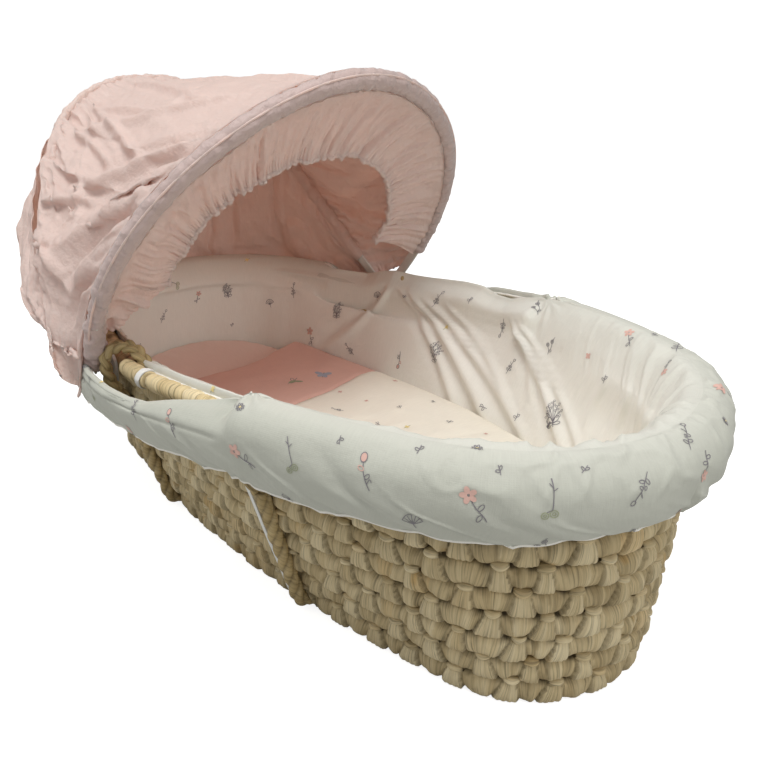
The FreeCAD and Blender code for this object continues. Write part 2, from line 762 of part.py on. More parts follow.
def build_hoops():
    """Two flat-strip hoops, each with a rivet hole through both feet."""
    for name, path, foot, tilt in (
            ("front_hoop", front_path(True), dims.front_foot, size.front_tilt),
            ("rear_hoop", rear_path(True), dims.rear_foot, size.rear_tilt)):
        body = new_body(name)
        spine = new_sketch(body, name + "_path", "YZ_Plane")
        outline(spine, path, closed=False)
        section = new_sketch(body, name + "_section", "XY_Plane", -dims.foot_drop)
        centred_box(section, 0, foot, dims.strip_wide, dims.strip_thick)
        sweep(body, name, section, spine)
        eye = new_sketch(body, name + "_eye", "XZ_Plane")
        circle(eye, 0, 0, dims.rivet_dia + 2 * dims.rivet_play)
        pocket(body, eye, THROUGH, symmetric=True)
        body.Placement = hood_place(tilt)


def build_binding():
    """Round padding on the front hoop and the cord sewn along its foot-end side."""
    start_height = front_curve()["side_centre"][1]
    body = new_body("hoop_binding")
    spine = new_sketch(body, "binding_path", "YZ_Plane")
    outline(spine, front_path(False), closed=False)
    section = new_sketch(body, "binding_section", "XY_Plane", start_height)
    circle(section, 0, dims.front_wide, dims.binding_dia)
    centred_box(section, 0, dims.front_wide, dims.strip_wide + dims.binding_bore,
                dims.strip_thick + dims.binding_bore)
    sweep(body, "binding", section, spine)
    body.Placement = hood_place(size.front_tilt)

    body = new_body("binding_piping")
    shift = dims.binding_dia / 2 + dims.piping_shift
    spine = new_sketch(body, "piping_path", "YZ_Plane", shift)
    outline(spine, front_path(False), closed=False)
    section = new_sketch(body, "piping_section", "XY_Plane", start_height)
    circle(section, shift, dims.front_wide, dims.piping_dia)
    sweep(body, "piping", section, spine)
    body.Placement = hood_place(size.front_tilt)


def build_rear_sleeve():
    """Gathered sleeve on the rear hoop."""
    body = new_body("rear_hoop_sleeve")
    spine = new_sketch(body, "sleeve_path", "YZ_Plane")
    outline(spine, rear_path(False), closed=False)
    section = new_sketch(body, "sleeve_section", "XY_Plane", dims.channel_low)
    y = leg_y(rear_curve(), size.channel_low)
    centred_box(section, 0, y, dims.channel_wide, dims.channel_deep)
    centred_box(section, 0, y, dims.strip_wide + dims.channel_bore,
                dims.strip_thick + dims.channel_bore)
    sweep(body, "sleeve", section, spine)
    body.Placement = hood_place(size.rear_tilt)


def build_frill():
    """Gathered cloth inside the front hoop, and the elastic along its inner edge."""
    inset = dims.binding_dia / 2 + dims.frill_gap
    curve = front_curve(-inset.value)
    side_y, side_height = curve["side_centre"]
    joint_y, joint_height = curve["joint"]
    inner_height = size.frill_in_top - size.frill_in_end
    inner_centre = (0, inner_height)
    low = dims.frill_low
    out_y = side_y + math.sqrt(curve["side_radius"] ** 2 - (size.frill_low - side_height) ** 2)

    def inner_y(radius):
        return math.sqrt(number(radius) ** 2 - (size.frill_low - inner_height) ** 2)

    edge_y = inner_y(dims.frill_in_end)
    side = dims.front_side - inset
    body = new_body("frill")
    sketch = new_sketch(body, "frill_plan", "YZ_Plane")
    outline(sketch, [
        (edge_y, low),
        (out_y, low, (side_y, side_height), side, True),
        (joint_y, joint_height, (0, curve["top_height"]), dims.front_end - inset, True),
        (-joint_y, joint_height, (-side_y, side_height), side, True),
        (-out_y, low),
        (-edge_y, low, inner_centre, dims.frill_in_end, False),
    ])
    pad(body, sketch, dims.frill_thick, symmetric=True)
    body.Placement = hood_place(size.front_tilt)

    outer = dims.frill_in_end - dims.frill_elastic_gap
    inner = outer - dims.frill_elastic_deep
    body = new_body("frill_elastic")
    sketch = new_sketch(body, "frill_elastic_plan", "YZ_Plane")
    outline(sketch, [
        (inner_y(inner), low),
        (inner_y(outer), low, inner_centre, outer, True),
        (-inner_y(outer), low),
        (-inner_y(inner), low, inner_centre, inner, False),
    ])
    pad(body, sketch, dims.frill_elastic_wide, symmetric=True)
    body.Placement = hood_place(size.front_tilt)


# Canopy and rear panel: thin cloth shells stretched between curves in different planes.
STEPS = 24  # divisions of each arc or leg when a curve is turned into points
CURVE_SPANS = 30  # spans of each interpolated edge curve


def arc_points(cx, cy, radius, start, end):
    angles = [start + (end - start) * i / STEPS for i in range(STEPS + 1)]
    return [(cx + radius * math.cos(angle), cy + radius * math.sin(angle))
            for angle in angles]


def top_points(curve, joint):
    """Top arc of a hoop from the joint to the middle, without the joint itself."""
    height = curve["top_height"]
    start = math.atan2(joint[1] - height, joint[0])
    return arc_points(0, height, curve["top_radius"], start, math.pi / 2)[1:]


def both_halves(half):
    """Adds the mirror image in y of a hoop half that ends on the middle line."""
    return half + [(-y, height) for y, height in reversed(half[:-1])]


def front_points(outset, low):
    curve = front_curve(outset)
    (cy, ch), joint, radius = curve["side_centre"], curve["joint"], curve["side_radius"]
    start = math.asin((low - ch) / radius)
    end = math.atan2(joint[1] - ch, joint[0] - cy)
    return both_halves(arc_points(cy, ch, radius, start, end) + top_points(curve, joint))


def rear_points(outset, low):
    curve = rear_curve(outset)
    y, high = leg_y(curve, low), curve["leg_high"]
    leg = [(y + (high[0] - y) * i / STEPS, low + (high[1] - low) * i / STEPS)
           for i in range(STEPS + 1)]
    return both_halves(leg + top_points(curve, high))


def rim_points(outset):
    """Dressing's outline moved outwards, from (-panel_edge, +y) round the head end."""
    length, width, end = [value + outset for value in
                          (size.half_len, size.half_wid, size.half_end)]
    side = side_radius(length, width, end)
    joint_x, joint_y = oval_joint(length, width, end)
    joint_x = -joint_x
    side_y, end_x = width - side, end - length
    half = arc_points(0, side_y, side, math.acos(-size.panel_edge / side),
                      math.atan2(joint_y - side_y, joint_x))
    half += arc_points(end_x, 0, end, math.atan2(joint_y, joint_x - end_x), math.pi)[1:]
    points = half + [(x, -y) for x, y in reversed(half[:-1])]
    return [Vector(x, y, size.hem_high) for x, y in points]


def in_hoop_plane(points, tilt, shift):
    """Points of a hoop plane in the cradle's frame, shifted along the plane's normal."""
    place = hood_place(tilt)
    return [place.multVec(Vector(shift, y, height)) for y, height in points]


def resample(points, spans):
    """Points at equal distances along a polyline."""
    along = [0.0]
    for start, end in zip(points[:-1], points[1:]):
        along.append(along[-1] + start.distanceToPoint(end))
    result = []
    k = 0
    for i in range(spans + 1):
        distance = along[-1] * i / spans
        while k < len(along) - 2 and along[k + 1] < distance:
            k += 1
        share = (distance - along[k]) / (along[k + 1] - along[k])
        result.append(points[k] + (points[k + 1] - points[k]) * share)
    return result


def spline_edge(points):
    curve = Part.BSplineCurve()
    curve.interpolate(resample(points, CURVE_SPANS))
    return curve.toShape()


def cloth_shell(name, first_outer, first_inner, second_outer, second_inner):
    """Thin solid between two curve pairs; each pair edges the outer and inner faces."""
    out_a, in_a, out_b, in_b = [spline_edge(points) for points in
                                (first_outer, first_inner, second_outer, second_inner)]
    faces = [Part.makeRuledSurface(start, end) for start, end in
             ((out_a, out_b), (in_a, in_b), (out_a, in_a), (out_b, in_b))]
    for k in (0, -1):
        corner_a, corner_b, corner_c, corner_d = [edge.Vertexes[k].Point for edge in
                                                  (out_a, out_b, in_a, in_b)]
        faces.append(Part.makeRuledSurface(Part.makeLine(corner_a, corner_b),
                                           Part.makeLine(corner_c, corner_d)))
    shell = Part.Shell(faces)
    shell.sewShape()
    # a shell that sewing leaves open is made again from its loose faces
    if not shell.isClosed():
        shell = Part.makeShell(Part.makeCompound(faces).Faces)
    shell.sewShape()
    solid = Part.makeSolid(Part.Shell(shell.Faces))
    if solid.Volume < 0:
        solid.reverse()
    cloth = doc.addObject("Part::Feature", name)
    cloth.Label = name
    cloth.Shape = solid
    parts.append(cloth)


def build_cloths():
    thick = size.canopy_thick
    front_outset, rear_outset = 6.0, 4.0  # outer faces beyond the hoop centre lines
    front_low, rear_low, panel_low = 62.0, 66.0, 80.0  # lower ends along the hoops
    front_shift, rear_shift = 12.5, 10.5  # edges beside the hoop planes

    def front_edge(outset):
        return in_hoop_plane(front_points(outset, front_low), size.front_tilt, -front_shift)

    def rear_edge(outset, low, shift):
        return in_hoop_plane(rear_points(outset, low), size.rear_tilt, shift)

    cloth_shell("canopy",
                front_edge(front_outset), front_edge(front_outset - thick),
                rear_edge(rear_outset, rear_low, rear_shift),
                rear_edge(rear_outset - thick, rear_low, rear_shift))
    cloth_shell("rear_panel",
                rear_edge(rear_outset, panel_low, -rear_shift),
                rear_edge(rear_outset - thick, panel_low, -rear_shift),
                rim_points(size.hem_out), rim_points(size.hem_out - thick))


def build_panel_elastic():
    """Elastic in the rear panel's hem, outside the dressing round the head end."""
    body = new_body("rear_panel_elastic")
    sketch = new_sketch(body, "rear_hem_plan", "XY_Plane",
                        dims.hem_high - dims.panel_elastic_drop)
    points = []
    # out along the outer edge from +Y to -Y, back along the inner edge
    for outset, sign in ((dims.hem_out, 1), (dims.hem_out - dims.panel_elastic_deep, -1)):
        length, width, end = grown(oval_named("half"), outset)
        side = side_radius(length, width, end)
        x, y = oval_joint(length, width, end)
        edge_y = width - side + root(side ** 2 - dims.panel_edge ** 2)
        ccw = sign > 0
        points += [
            (-dims.panel_edge, sign * edge_y, (0, sign * (width - side)), side, ccw),
            (-x, sign * y, (end - length, 0), end, ccw),
            (-x, -sign * y, (0, sign * (side - width)), side, ccw),
            (-dims.panel_edge, -sign * edge_y),
        ]
    outline(sketch, points)
    pad(body, sketch, dims.panel_elastic_high)


def build_clips():
    """Foot clips: a plate against the wall with the rivet both hoops turn on."""
    half = dims.clip_half
    arc_centre = (0, -math.sqrt(size.clip_arc ** 2 - size.clip_half ** 2))
    for name, sign in (("hood_clip_near", -1), ("hood_clip_far", 1)):
        far = sign > 0
        body = new_body(name)
        sketch = new_sketch(body, name + "_plate", "XZ_Plane", -sign * dims.clip_y)
        outline(sketch, [(-half, -dims.clip_low), (half, -dims.clip_low),
                         (half, 0, arc_centre, dims.clip_arc, True), (-half, 0)])
        pad(body, sketch, dims.clip_thick, reverse=far)
        for feature, y, diameter, length in (
                ("_rivet", dims.clip_y, dims.rivet_dia, dims.rivet_len),
                ("_head", dims.head_y, dims.head_dia, dims.head_thick)):
            sketch = new_sketch(body, name + feature, "XZ_Plane", -sign * y)
            circle(sketch, 0, 0, diameter)
            pad(body, sketch, length, reverse=far)
        body.Placement = FreeCAD.Placement(Vector(size.pivot_x, 0, size.pivot_z),
                                           FreeCAD.Rotation())


# ---------------------------------------------------------------- the rope handles
def build_grip(side, place):
    """Husk-wrapped grip along X."""
    body = new_body(side + "_handle_grip")
    sketch = new_sketch(body, side + "_grip_section", "YZ_Plane")
    circle(sketch, 0, 0, dims.grip_dia)
    bar = pad(body, sketch, dims.grip_len, symmetric=True)
    fillet(body, bar, lambda edge: edge.BoundBox.XLength < 1e-3, dims.grip_round,
           side + "_grip_round")
    body.Placement = place


def build_handle_rope(name, sign, place):
    """Rope leg: leaves the grip's end, turns down and drops to the sling."""
    start_x = sign * (dims.grip_len / 2 + dims.leg_gap)
    bend = dims.leg_bend
    bend_x = sign * (dims.sling_x - bend)
    down_x = sign * dims.sling_x
    body = new_body(name)
    spine = new_sketch(body, name + "_path", "XZ_Plane")
    outline(spine, [
        (start_x, 0),
        (bend_x, 0, (bend_x, -bend), bend, sign < 0),
        (down_x, -bend),
        (down_x, dims.leg_low - dims.grip_z),
    ], closed=False)
    section = new_sketch(body, name + "_section", "YZ_Plane", start_x)
    circle(section, 0, 0, dims.leg_dia)
    sweep(body, name, section, spine)
    body.Placement = place


def build_grip_tape(side, y):
    """White tape tied round the grip."""
    overrun = 1.0
    radius = dims.grip_dia / 2
    tube = doc.addObject("Part::Cylinder", side + "_tape_outer")
    bind(tube, "Radius", radius + dims.grip_tape_out)
    bind(tube, "Height", dims.grip_tape_wide)
    bore = doc.addObject("Part::Cylinder", side + "_tape_bore")
    bind(bore, "Radius", radius + dims.grip_tape_in)
    bind(bore, "Height", dims.grip_tape_wide + 2 * overrun)
    bore.Placement = FreeCAD.Placement(Vector(0, 0, -overrun), FreeCAD.Rotation())
    tape = doc.addObject("Part::Cut", side + "_handle_tape")
    tape.Base = tube
    tape.Tool = bore
    tape.Label = side + "_handle_tape"
    tape.Placement = FreeCAD.Placement(Vector(size.grip_tape_x, y, size.grip_z),
                                       FreeCAD.Rotation(Vector(0, 1, 0), 90))
    parts.append(tape)


def build_handles():
    for side, y in (("near", -size.grip_y), ("far", size.grip_y)):
        place = FreeCAD.Placement(Vector(0, y, size.grip_z), FreeCAD.Rotation())
        build_grip(side, place)
        for end, sign in (("head", -1), ("foot", 1)):
            build_handle_rope("%s_handle_rope_%s" % (side, end), sign, place)
        build_grip_tape(side, y)


# ---------------------------------------------------------------- build, check, export
for build in (build_walls, build_base, build_slings, build_tie_tape,
              build_rim_padding, build_skirt, build_hem_elastic, build_lining,
              build_mattress_and_sheet, build_coverlets,
              build_hoops, build_binding, build_rear_sleeve, build_frill, build_cloths,
              build_panel_elastic, build_clips, build_handles):
    build()
doc.recompute()

bad = ["%s: %s" % (item.Name, item.State) for item in doc.Objects
       if any(word in state for state in item.State for word in ("Invalid", "Error"))
       or "Invalid" in item.State or "Error" in item.State]
if bad:
    raise RuntimeError("objects with errors: " + "; ".join(bad))
for part in parts:
    shape = part.Shape
    if shape.isNull() or not shape.isValid():
        raise RuntimeError("sub-part %s has no valid shape" % part.Label)
    if len(shape.Solids) != 1 or shape.Volume <= 0:
        raise RuntimeError("sub-part %s has %d solids, volume %g"
                           % (part.Label, len(shape.Solids), shape.Volume))
os.makedirs("parts", exist_ok=True)
for part in parts:
    part.Shape.exportStep("parts/" + part.Label + ".step")
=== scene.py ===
# Baby's sleeping basket: coiled husk wall with rope handles, printed cotton dressing, bedding
# and a folding cloth hood on two hoops.
# X runs along the basket, foot end at +X and hooded head end at -X. The near side is -Y, the
# far side +Y. Z is up and the basket stands on z = 0. Lengths are metres.
import bpy
import bmesh
import json
import math
import numpy as np
from mathutils import Vector, Matrix
from mathutils.bvhtree import BVHTree


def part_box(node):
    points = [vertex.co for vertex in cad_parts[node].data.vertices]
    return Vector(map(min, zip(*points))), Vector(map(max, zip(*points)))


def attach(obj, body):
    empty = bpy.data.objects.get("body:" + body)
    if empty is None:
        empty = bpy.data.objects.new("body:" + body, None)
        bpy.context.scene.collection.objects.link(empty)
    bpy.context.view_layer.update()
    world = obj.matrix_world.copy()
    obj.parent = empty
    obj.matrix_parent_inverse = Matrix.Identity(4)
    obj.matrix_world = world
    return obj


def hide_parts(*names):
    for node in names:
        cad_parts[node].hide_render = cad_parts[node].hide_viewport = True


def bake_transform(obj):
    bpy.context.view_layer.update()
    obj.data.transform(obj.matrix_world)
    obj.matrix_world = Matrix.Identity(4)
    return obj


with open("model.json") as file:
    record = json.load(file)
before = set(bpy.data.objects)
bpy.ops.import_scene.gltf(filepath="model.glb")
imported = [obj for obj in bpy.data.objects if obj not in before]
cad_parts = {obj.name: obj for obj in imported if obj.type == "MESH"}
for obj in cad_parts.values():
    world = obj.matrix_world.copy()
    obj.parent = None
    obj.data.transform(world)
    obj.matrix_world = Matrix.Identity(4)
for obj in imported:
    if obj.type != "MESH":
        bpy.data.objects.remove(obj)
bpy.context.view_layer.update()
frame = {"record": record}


# ------------------------------------------------------------------ sizes read from the frame
def box(piece):
    """Low and high corner of a CAD piece."""
    return [np.array([corner.x, corner.y, corner.z]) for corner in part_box(piece)]


def middle(piece):
    low, high = box(piece)
    return (low + high) / 2


def half_size(piece):
    low, high = box(piece)
    return (high - low) / 2


JOINTS = {joint["name"]: joint for joint in frame["record"]["behaviour"]["joints"]}
PIVOT = np.array(JOINTS["hood_front_hoop_pivot"]["pos_m"], float)
HALF_L, HALF_W = half_size("liner_skirt")[:2]
GRIP_Y, GRIP_Z = middle("near_handle_grip")[1:]
GRIP_Y = abs(GRIP_Y)
GRIP_X0, GRIP_X1 = [corner[0] for corner in box("near_handle_grip")]
SLING_X = middle("rope_sling_foot")[0]
TAPE_X = middle("tie_tape_near")[0]
PITCH = box("wall_coil_02")[0][2] - box("wall_coil_01")[0][2]  # height of one woven row
FRONT_TILT, REAR_TILT = math.radians(33.0), math.radians(-44.5)  # from upright, towards +X
SIDES = (("near", -1), ("far", 1))

# ------------------------------------------------------------------ small maths
TAU = 2 * math.pi
NOISE_TABLE = np.random.RandomState(11).rand(256, 256)


def noise(x, y=0.0, seed=0):
    """Smooth value noise from -1 to 1."""
    x = np.asarray(x, float) + seed * 5.71
    y = np.asarray(y, float) + seed * 17.317
    col, row = np.floor(x).astype(int), np.floor(y).astype(int)
    x, y = x - col, y - row
    x, y = x * x * (3 - 2 * x), y * y * (3 - 2 * y)

    def line(step):
        start = NOISE_TABLE[col % 256, (row + step) % 256]
        end = NOISE_TABLE[(col + 1) % 256, (row + step) % 256]
        return start * (1 - x) + end * x

    return (line(0) * (1 - y) + line(1) * y) * 2 - 1


def fractal(x, y, seed, octaves):
    """Noise summed over octaves, each half as high."""
    x, y = np.asarray(x), np.asarray(y)
    return sum(0.5 ** k * noise(x * 2 ** k, y * 2 ** k, seed + k * 3) for k in range(octaves))


def ease(start, end, value):
    """0 at start rising smoothly to 1 at end; start may be the larger."""
    share = np.clip((np.asarray(value, float) - start) / (end - start), 0, 1)
    return share * share * (3 - 2 * share)


def mix(first, second, share):
    return first * (1 - share) + second * share


def bell(offset, width):
    return np.exp(-(offset / width) ** 2)


def ridge(value, sharp, low=0):
    """Crest where value crosses zero."""
    return np.clip(1 - np.abs(value) * sharp, low, 1)


def blunt(value, power):
    """Signed power: squares off a circular section."""
    return np.sign(value) * np.abs(value) ** power


def lattice(first, second):
    return np.meshgrid(first, second, indexing="ij")


def circle(count):
    return np.linspace(0, TAU, count, endpoint=False)


class Oval:
    """Oval of four arcs; places run counter-clockwise from the foot end (+X)."""

    def __init__(self, half_l, half_w, end_r):
        self.half_l, self.half_w, self.end_r = half_l, half_w, end_r
        run = half_l - end_r
        side_r = (run ** 2 + half_w * half_w - end_r * end_r) / (2 * (half_w - end_r))
        drop = side_r - half_w
        bend = math.atan2(drop, run)
        end, side = bend * end_r, (math.pi - 2 * bend) * side_r
        self.side_r = side_r
        self.length = 4 * end + 2 * side
        # each arc's start distance, start angle, radius and centre
        self.starts = np.array([0, end, end + side, 3 * end + side, 3 * end + 2 * side])
        self.angles = np.array([0, bend, math.pi - bend, math.pi + bend, TAU - bend])
        self.radii = np.array([end_r, side_r, end_r, side_r, end_r])
        self.centre_x = np.array([run, 0, -run, 0, run])
        self.centre_y = np.array([0, -drop, 0, drop, 0])

    def grown(self, by):
        return Oval(self.half_l + by, self.half_w + by, self.end_r + by)

    def at(self, dist):
        """x, y and the outward normal's x, y at a distance round the oval."""
        dist = np.mod(np.asarray(dist, float), self.length)
        part = np.searchsorted(self.starts[1:], dist, side="right")
        radius = self.radii[part]
        angle = self.angles[part] + (dist - self.starts[part]) / radius
        nx, ny = np.cos(angle), np.sin(angle)
        return self.centre_x[part] + radius * nx, self.centre_y[part] + radius * ny, nx, ny

    def at_turn(self, turn):
        """The same at a share of the whole way round."""
        return self.at(np.asarray(turn) * self.length)

    def side_y(self, x):
        rise = np.sqrt(np.maximum(self.side_r ** 2 - x * x, 0))
        return self.half_w - self.side_r + rise

    def half_width(self, x):
        run = self.half_l - self.end_r
        x_join = run * self.side_r / (self.side_r - self.end_r)
        end_y = np.sqrt(np.maximum(self.end_r ** 2 - (np.abs(x) - run) ** 2, 0))
        return np.where(np.abs(x) < x_join, self.side_y(x), end_y)


def oval_line(oval, turn, z):
    x, y, _, _ = oval.at_turn(turn)
    return np.stack([x, y, z + 0 * x], -1)


# ------------------------------------------------------------------ mesh helpers
def build_mesh(name, verts, faces, mat=None, uvs=None, tone=None, body="basket", node=None):
    """Smooth quad mesh. uvs: {map name: per-corner uv}; tone: a colour per vertex."""
    mesh = bpy.data.meshes.new(name)
    verts = np.asarray(verts, np.float32)
    faces = np.asarray(faces, np.int32)
    count = len(faces)
    mesh.vertices.add(len(verts))
    mesh.vertices.foreach_set("co", verts.ravel())
    mesh.loops.add(count * 4)
    mesh.loops.foreach_set("vertex_index", faces.ravel())
    mesh.polygons.add(count)
    mesh.polygons.foreach_set("loop_start", np.arange(0, count * 4, 4, dtype=np.int32))
    mesh.polygons.foreach_set("loop_total", np.full(count, 4, np.int32))
    for key, uv in (uvs or {}).items():
        layer = mesh.uv_layers.new(name=key)
        layer.data.foreach_set("uv", np.asarray(uv, np.float32).ravel())
    mesh.update(calc_edges=True)
    if tone is not None:
        layer = mesh.color_attributes.new("tone", "FLOAT_COLOR", "POINT")
        layer.data.foreach_set("color", np.asarray(tone, np.float32).ravel())
    mesh.shade_smooth()
    mesh.validate()
    obj = bpy.data.objects.new(name, mesh)
    bpy.context.scene.collection.objects.link(obj)
    if mat:
        mesh.materials.append(mat)
    if body:
        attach(obj, body)
    if node:
        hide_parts(node)
    return obj


def wrap(values, loop_u, loop_v):
    if loop_u:
        values = np.concatenate([values, values[:1]])
    if loop_v:
        values = np.concatenate([values, values[:, :1]], 1)
    return values


def wrap_rows(values, step=0.0):
    """Repeats the first row at the end, moved on by step."""
    return np.vstack([values, values[:1] + step])


def wrap_cols(values, step=0.0):
    return np.hstack([values, values[:, :1] + step])


def quads(values, flip=False):
    """The four corner values of every lattice cell: (cells, 4, ...)."""
    corners = [values[:-1, :-1], values[1:, :-1], values[1:, 1:], values[:-1, 1:]]
    cells = np.stack(corners[::-1] if flip else corners, 2)
    return cells.reshape(-1, 4, *values.shape[2:])


def grid_normals(points, loop_u=False, loop_v=False):
    def slope(axis, closed):
        if closed:
            return np.roll(points, -1, axis) - np.roll(points, 1, axis)
        return np.gradient(points, axis=axis)

    normal = np.cross(slope(0, loop_u), slope(1, loop_v))
    return normal / np.maximum(np.linalg.norm(normal, axis=-1, keepdims=True), 1e-12)


def arc_lengths(points, axis, closed=False):
    if closed:
        points = np.concatenate([points, np.take(points, [0], axis)], axis)
    steps = np.linalg.norm(np.diff(points, axis=axis), axis=-1)
    dist = np.cumsum(steps, axis=axis)
    return np.concatenate([np.zeros_like(np.take(dist, [0], axis)), dist], axis)


def grid(name, points, mat, loop_u=False, loop_v=False, flip=False, thick=0.0,
         uv=None, strand=None, tone=None, body="basket", node=None):
    """Mesh from a lattice of points.

    thick backs a lattice whose columns don't close with a second layer against the normal.
    """
    points = np.asarray(points, float)
    count = points.shape[0] * points.shape[1]
    if uv is None:
        uv = lattice(arc_lengths(points, 0, loop_u).mean(1),
                     arc_lengths(points, 1, loop_v).mean(0))
    uv = np.stack(uv, -1)
    index = wrap(np.arange(count).reshape(points.shape[:2]), loop_u, loop_v)
    verts, faces, corners = [points], [quads(index, flip)], [quads(uv, flip)]
    if thick:
        normals = grid_normals(points, loop_u) * (-1 if flip else 1)
        verts.append(points - normals * thick)
        faces.append(quads(index + count, not flip))
        corners.append(quads(uv, not flip))
        edges = [(np.s_[:, 0], flip), (np.s_[:, -1], not flip)]
        if not loop_u:
            edges += [(np.s_[0], not flip), (np.s_[-1], flip)]
        for edge, turned in edges:
            line = index[edge]
            faces.append(quads(np.stack([line, line + count], 1), turned))
            corners.append(quads(np.stack([uv[edge], uv[edge]], 1), turned))
    uvs = {"UVMap": np.concatenate(corners)}
    if strand is not None:
        uvs["strand"] = quads(np.stack(strand, -1), flip)
    verts = np.concatenate([layer.reshape(-1, 3) for layer in verts])
    return build_mesh(name, verts, np.concatenate(faces), mat, uvs, tone, body, node)


def tones(tone, crevice_shade, warm):
    """Vertex colours read by the husk materials: own tone, painted shade in crevices, and warmth."""
    return np.stack(np.broadcast_arrays(tone, crevice_shade, warm, 1.0), -1)


def frames_along(path, up=(0, 0, 1), closed=False):
    """Tangent and two normals along a path, the first normal kept close to up."""
    if closed:
        tangent = np.roll(path, -1, 0) - np.roll(path, 1, 0)
    else:
        tangent = np.gradient(path, axis=0)
    tangent /= np.linalg.norm(tangent, axis=1, keepdims=True)
    normal = np.zeros_like(path)
    last = np.array(up, float)
    for i, along in enumerate(tangent):
        last = last - along * (last @ along)
        last /= np.linalg.norm(last)
        normal[i] = last
    return tangent, normal, np.cross(tangent, normal)


def tube_points(path, radius, sides, up=(0, 0, 1), squash=1.0, closed=False):
    """Lattice round a path; radius is a number, one per point or a whole lattice."""
    _, normal, side = frames_along(path, up, closed)
    angle = circle(sides)[None, :, None]
    radius = np.asarray(radius, float)
    if radius.ndim == 1:
        radius = radius[:, None]
    radius = np.broadcast_to(radius, (len(path), sides))[..., None]
    ring = normal[:, None] * np.cos(angle) * squash + side[:, None] * np.sin(angle)
    return path[:, None] + ring * radius


def tube(name, path, radius, mat, body="basket", node=None):
    """Ten-sided cord with domed ends."""
    sides = 10
    points = tube_points(path, radius, sides)
    domes = []
    for end, outward in ((0, path[0] - path[1]), (-1, path[-1] - path[-2])):
        outward = outward / np.linalg.norm(outward)
        spokes = points[end] - path[end]
        size = np.linalg.norm(spokes, axis=1).mean()
        domes.append([path[end] + spokes * math.cos(angle) + outward * size * math.sin(angle) * 0.8
                      for angle in (0.6, 1.1, 1.5)])
    points = np.concatenate([domes[0][::-1], points, domes[1]])
    girth = np.linspace(0, 1, sides + 1) * TAU * float(np.mean(radius))
    uv = lattice(arc_lengths(points, 0).mean(1), girth)
    return grid(name, points, mat, loop_v=True, uv=uv, body=body, node=node)


def end_rings(points, size):
    """Adds a shrunken copy of the first and last ring at either end."""
    first, last = [ring.mean(0) + (ring - ring.mean(0)) * size for ring in (points[0], points[-1])]
    return np.concatenate([first[None], points, last[None]])


def capped(points, tone, uv):
    """A rope lattice, its tones and uv with both ends drawn in."""
    tone = np.concatenate([tone[:1], tone, tone[-1:]])
    along, across = uv
    along = np.concatenate([along[:1] - 0.003, along, along[-1:] + 0.003])
    across = np.concatenate([across[:1], across, across[-1:]])
    return end_rings(points, 0.05), tone, (along, across)


def resample(path, count):
    path = np.asarray(path, float)
    dist = arc_lengths(path, 0)
    even = np.linspace(0, dist[-1], count)
    return np.stack([np.interp(even, dist, column) for column in path.T], 1)


def catmull(levels, place):
    """Catmull-Rom through the first axis of levels, at places in level units."""
    last = len(levels) - 1
    i = np.clip(np.floor(place).astype(int), 0, last - 1)
    tail = [1] * (levels.ndim - 1)
    u = (place - i).reshape(-1, *tail)
    start, end = levels[i], levels[i + 1]
    before = np.where((i == 0).reshape(-1, *tail), 2 * start - end, levels[np.clip(i - 1, 0, last)])
    after = np.where((i + 2 > last).reshape(-1, *tail), 2 * end - start,
                     levels[np.clip(i + 2, 0, last)])
    return 0.5 * (2 * start + (end - before) * u
                  + (2 * before - 5 * start + 4 * end - after) * u ** 2
                  + (3 * start - before - 3 * end + after) * u ** 3)


def spline(stations, count):
    """Catmull-Rom through the stations, resampled evenly."""
    stations = np.asarray(stations, float)
    spans = len(stations) - 1
    return resample(catmull(stations, np.linspace(0, spans, spans * 24 + 1)), count)


def join(name, parts):
    for obj in bpy.context.selected_objects:
        obj.select_set(False)
    for obj in parts:
        obj.select_set(True)
    bpy.context.view_layer.objects.active = parts[0]
    bpy.ops.object.join()
    obj = bpy.context.view_layer.objects.active
    obj.name = name
    obj.data.name = name
    obj.select_set(False)
    return obj


# ------------------------------------------------------------------ materials
def srgb(red, green, blue):
    """Linear colour from 0-255 channels."""
    def linear(value):
        return value / 12.92 if value <= 0.04045 else ((value + 0.055) / 1.055) ** 2.4
    return (linear(red / 255), linear(green / 255), linear(blue / 255), 1)


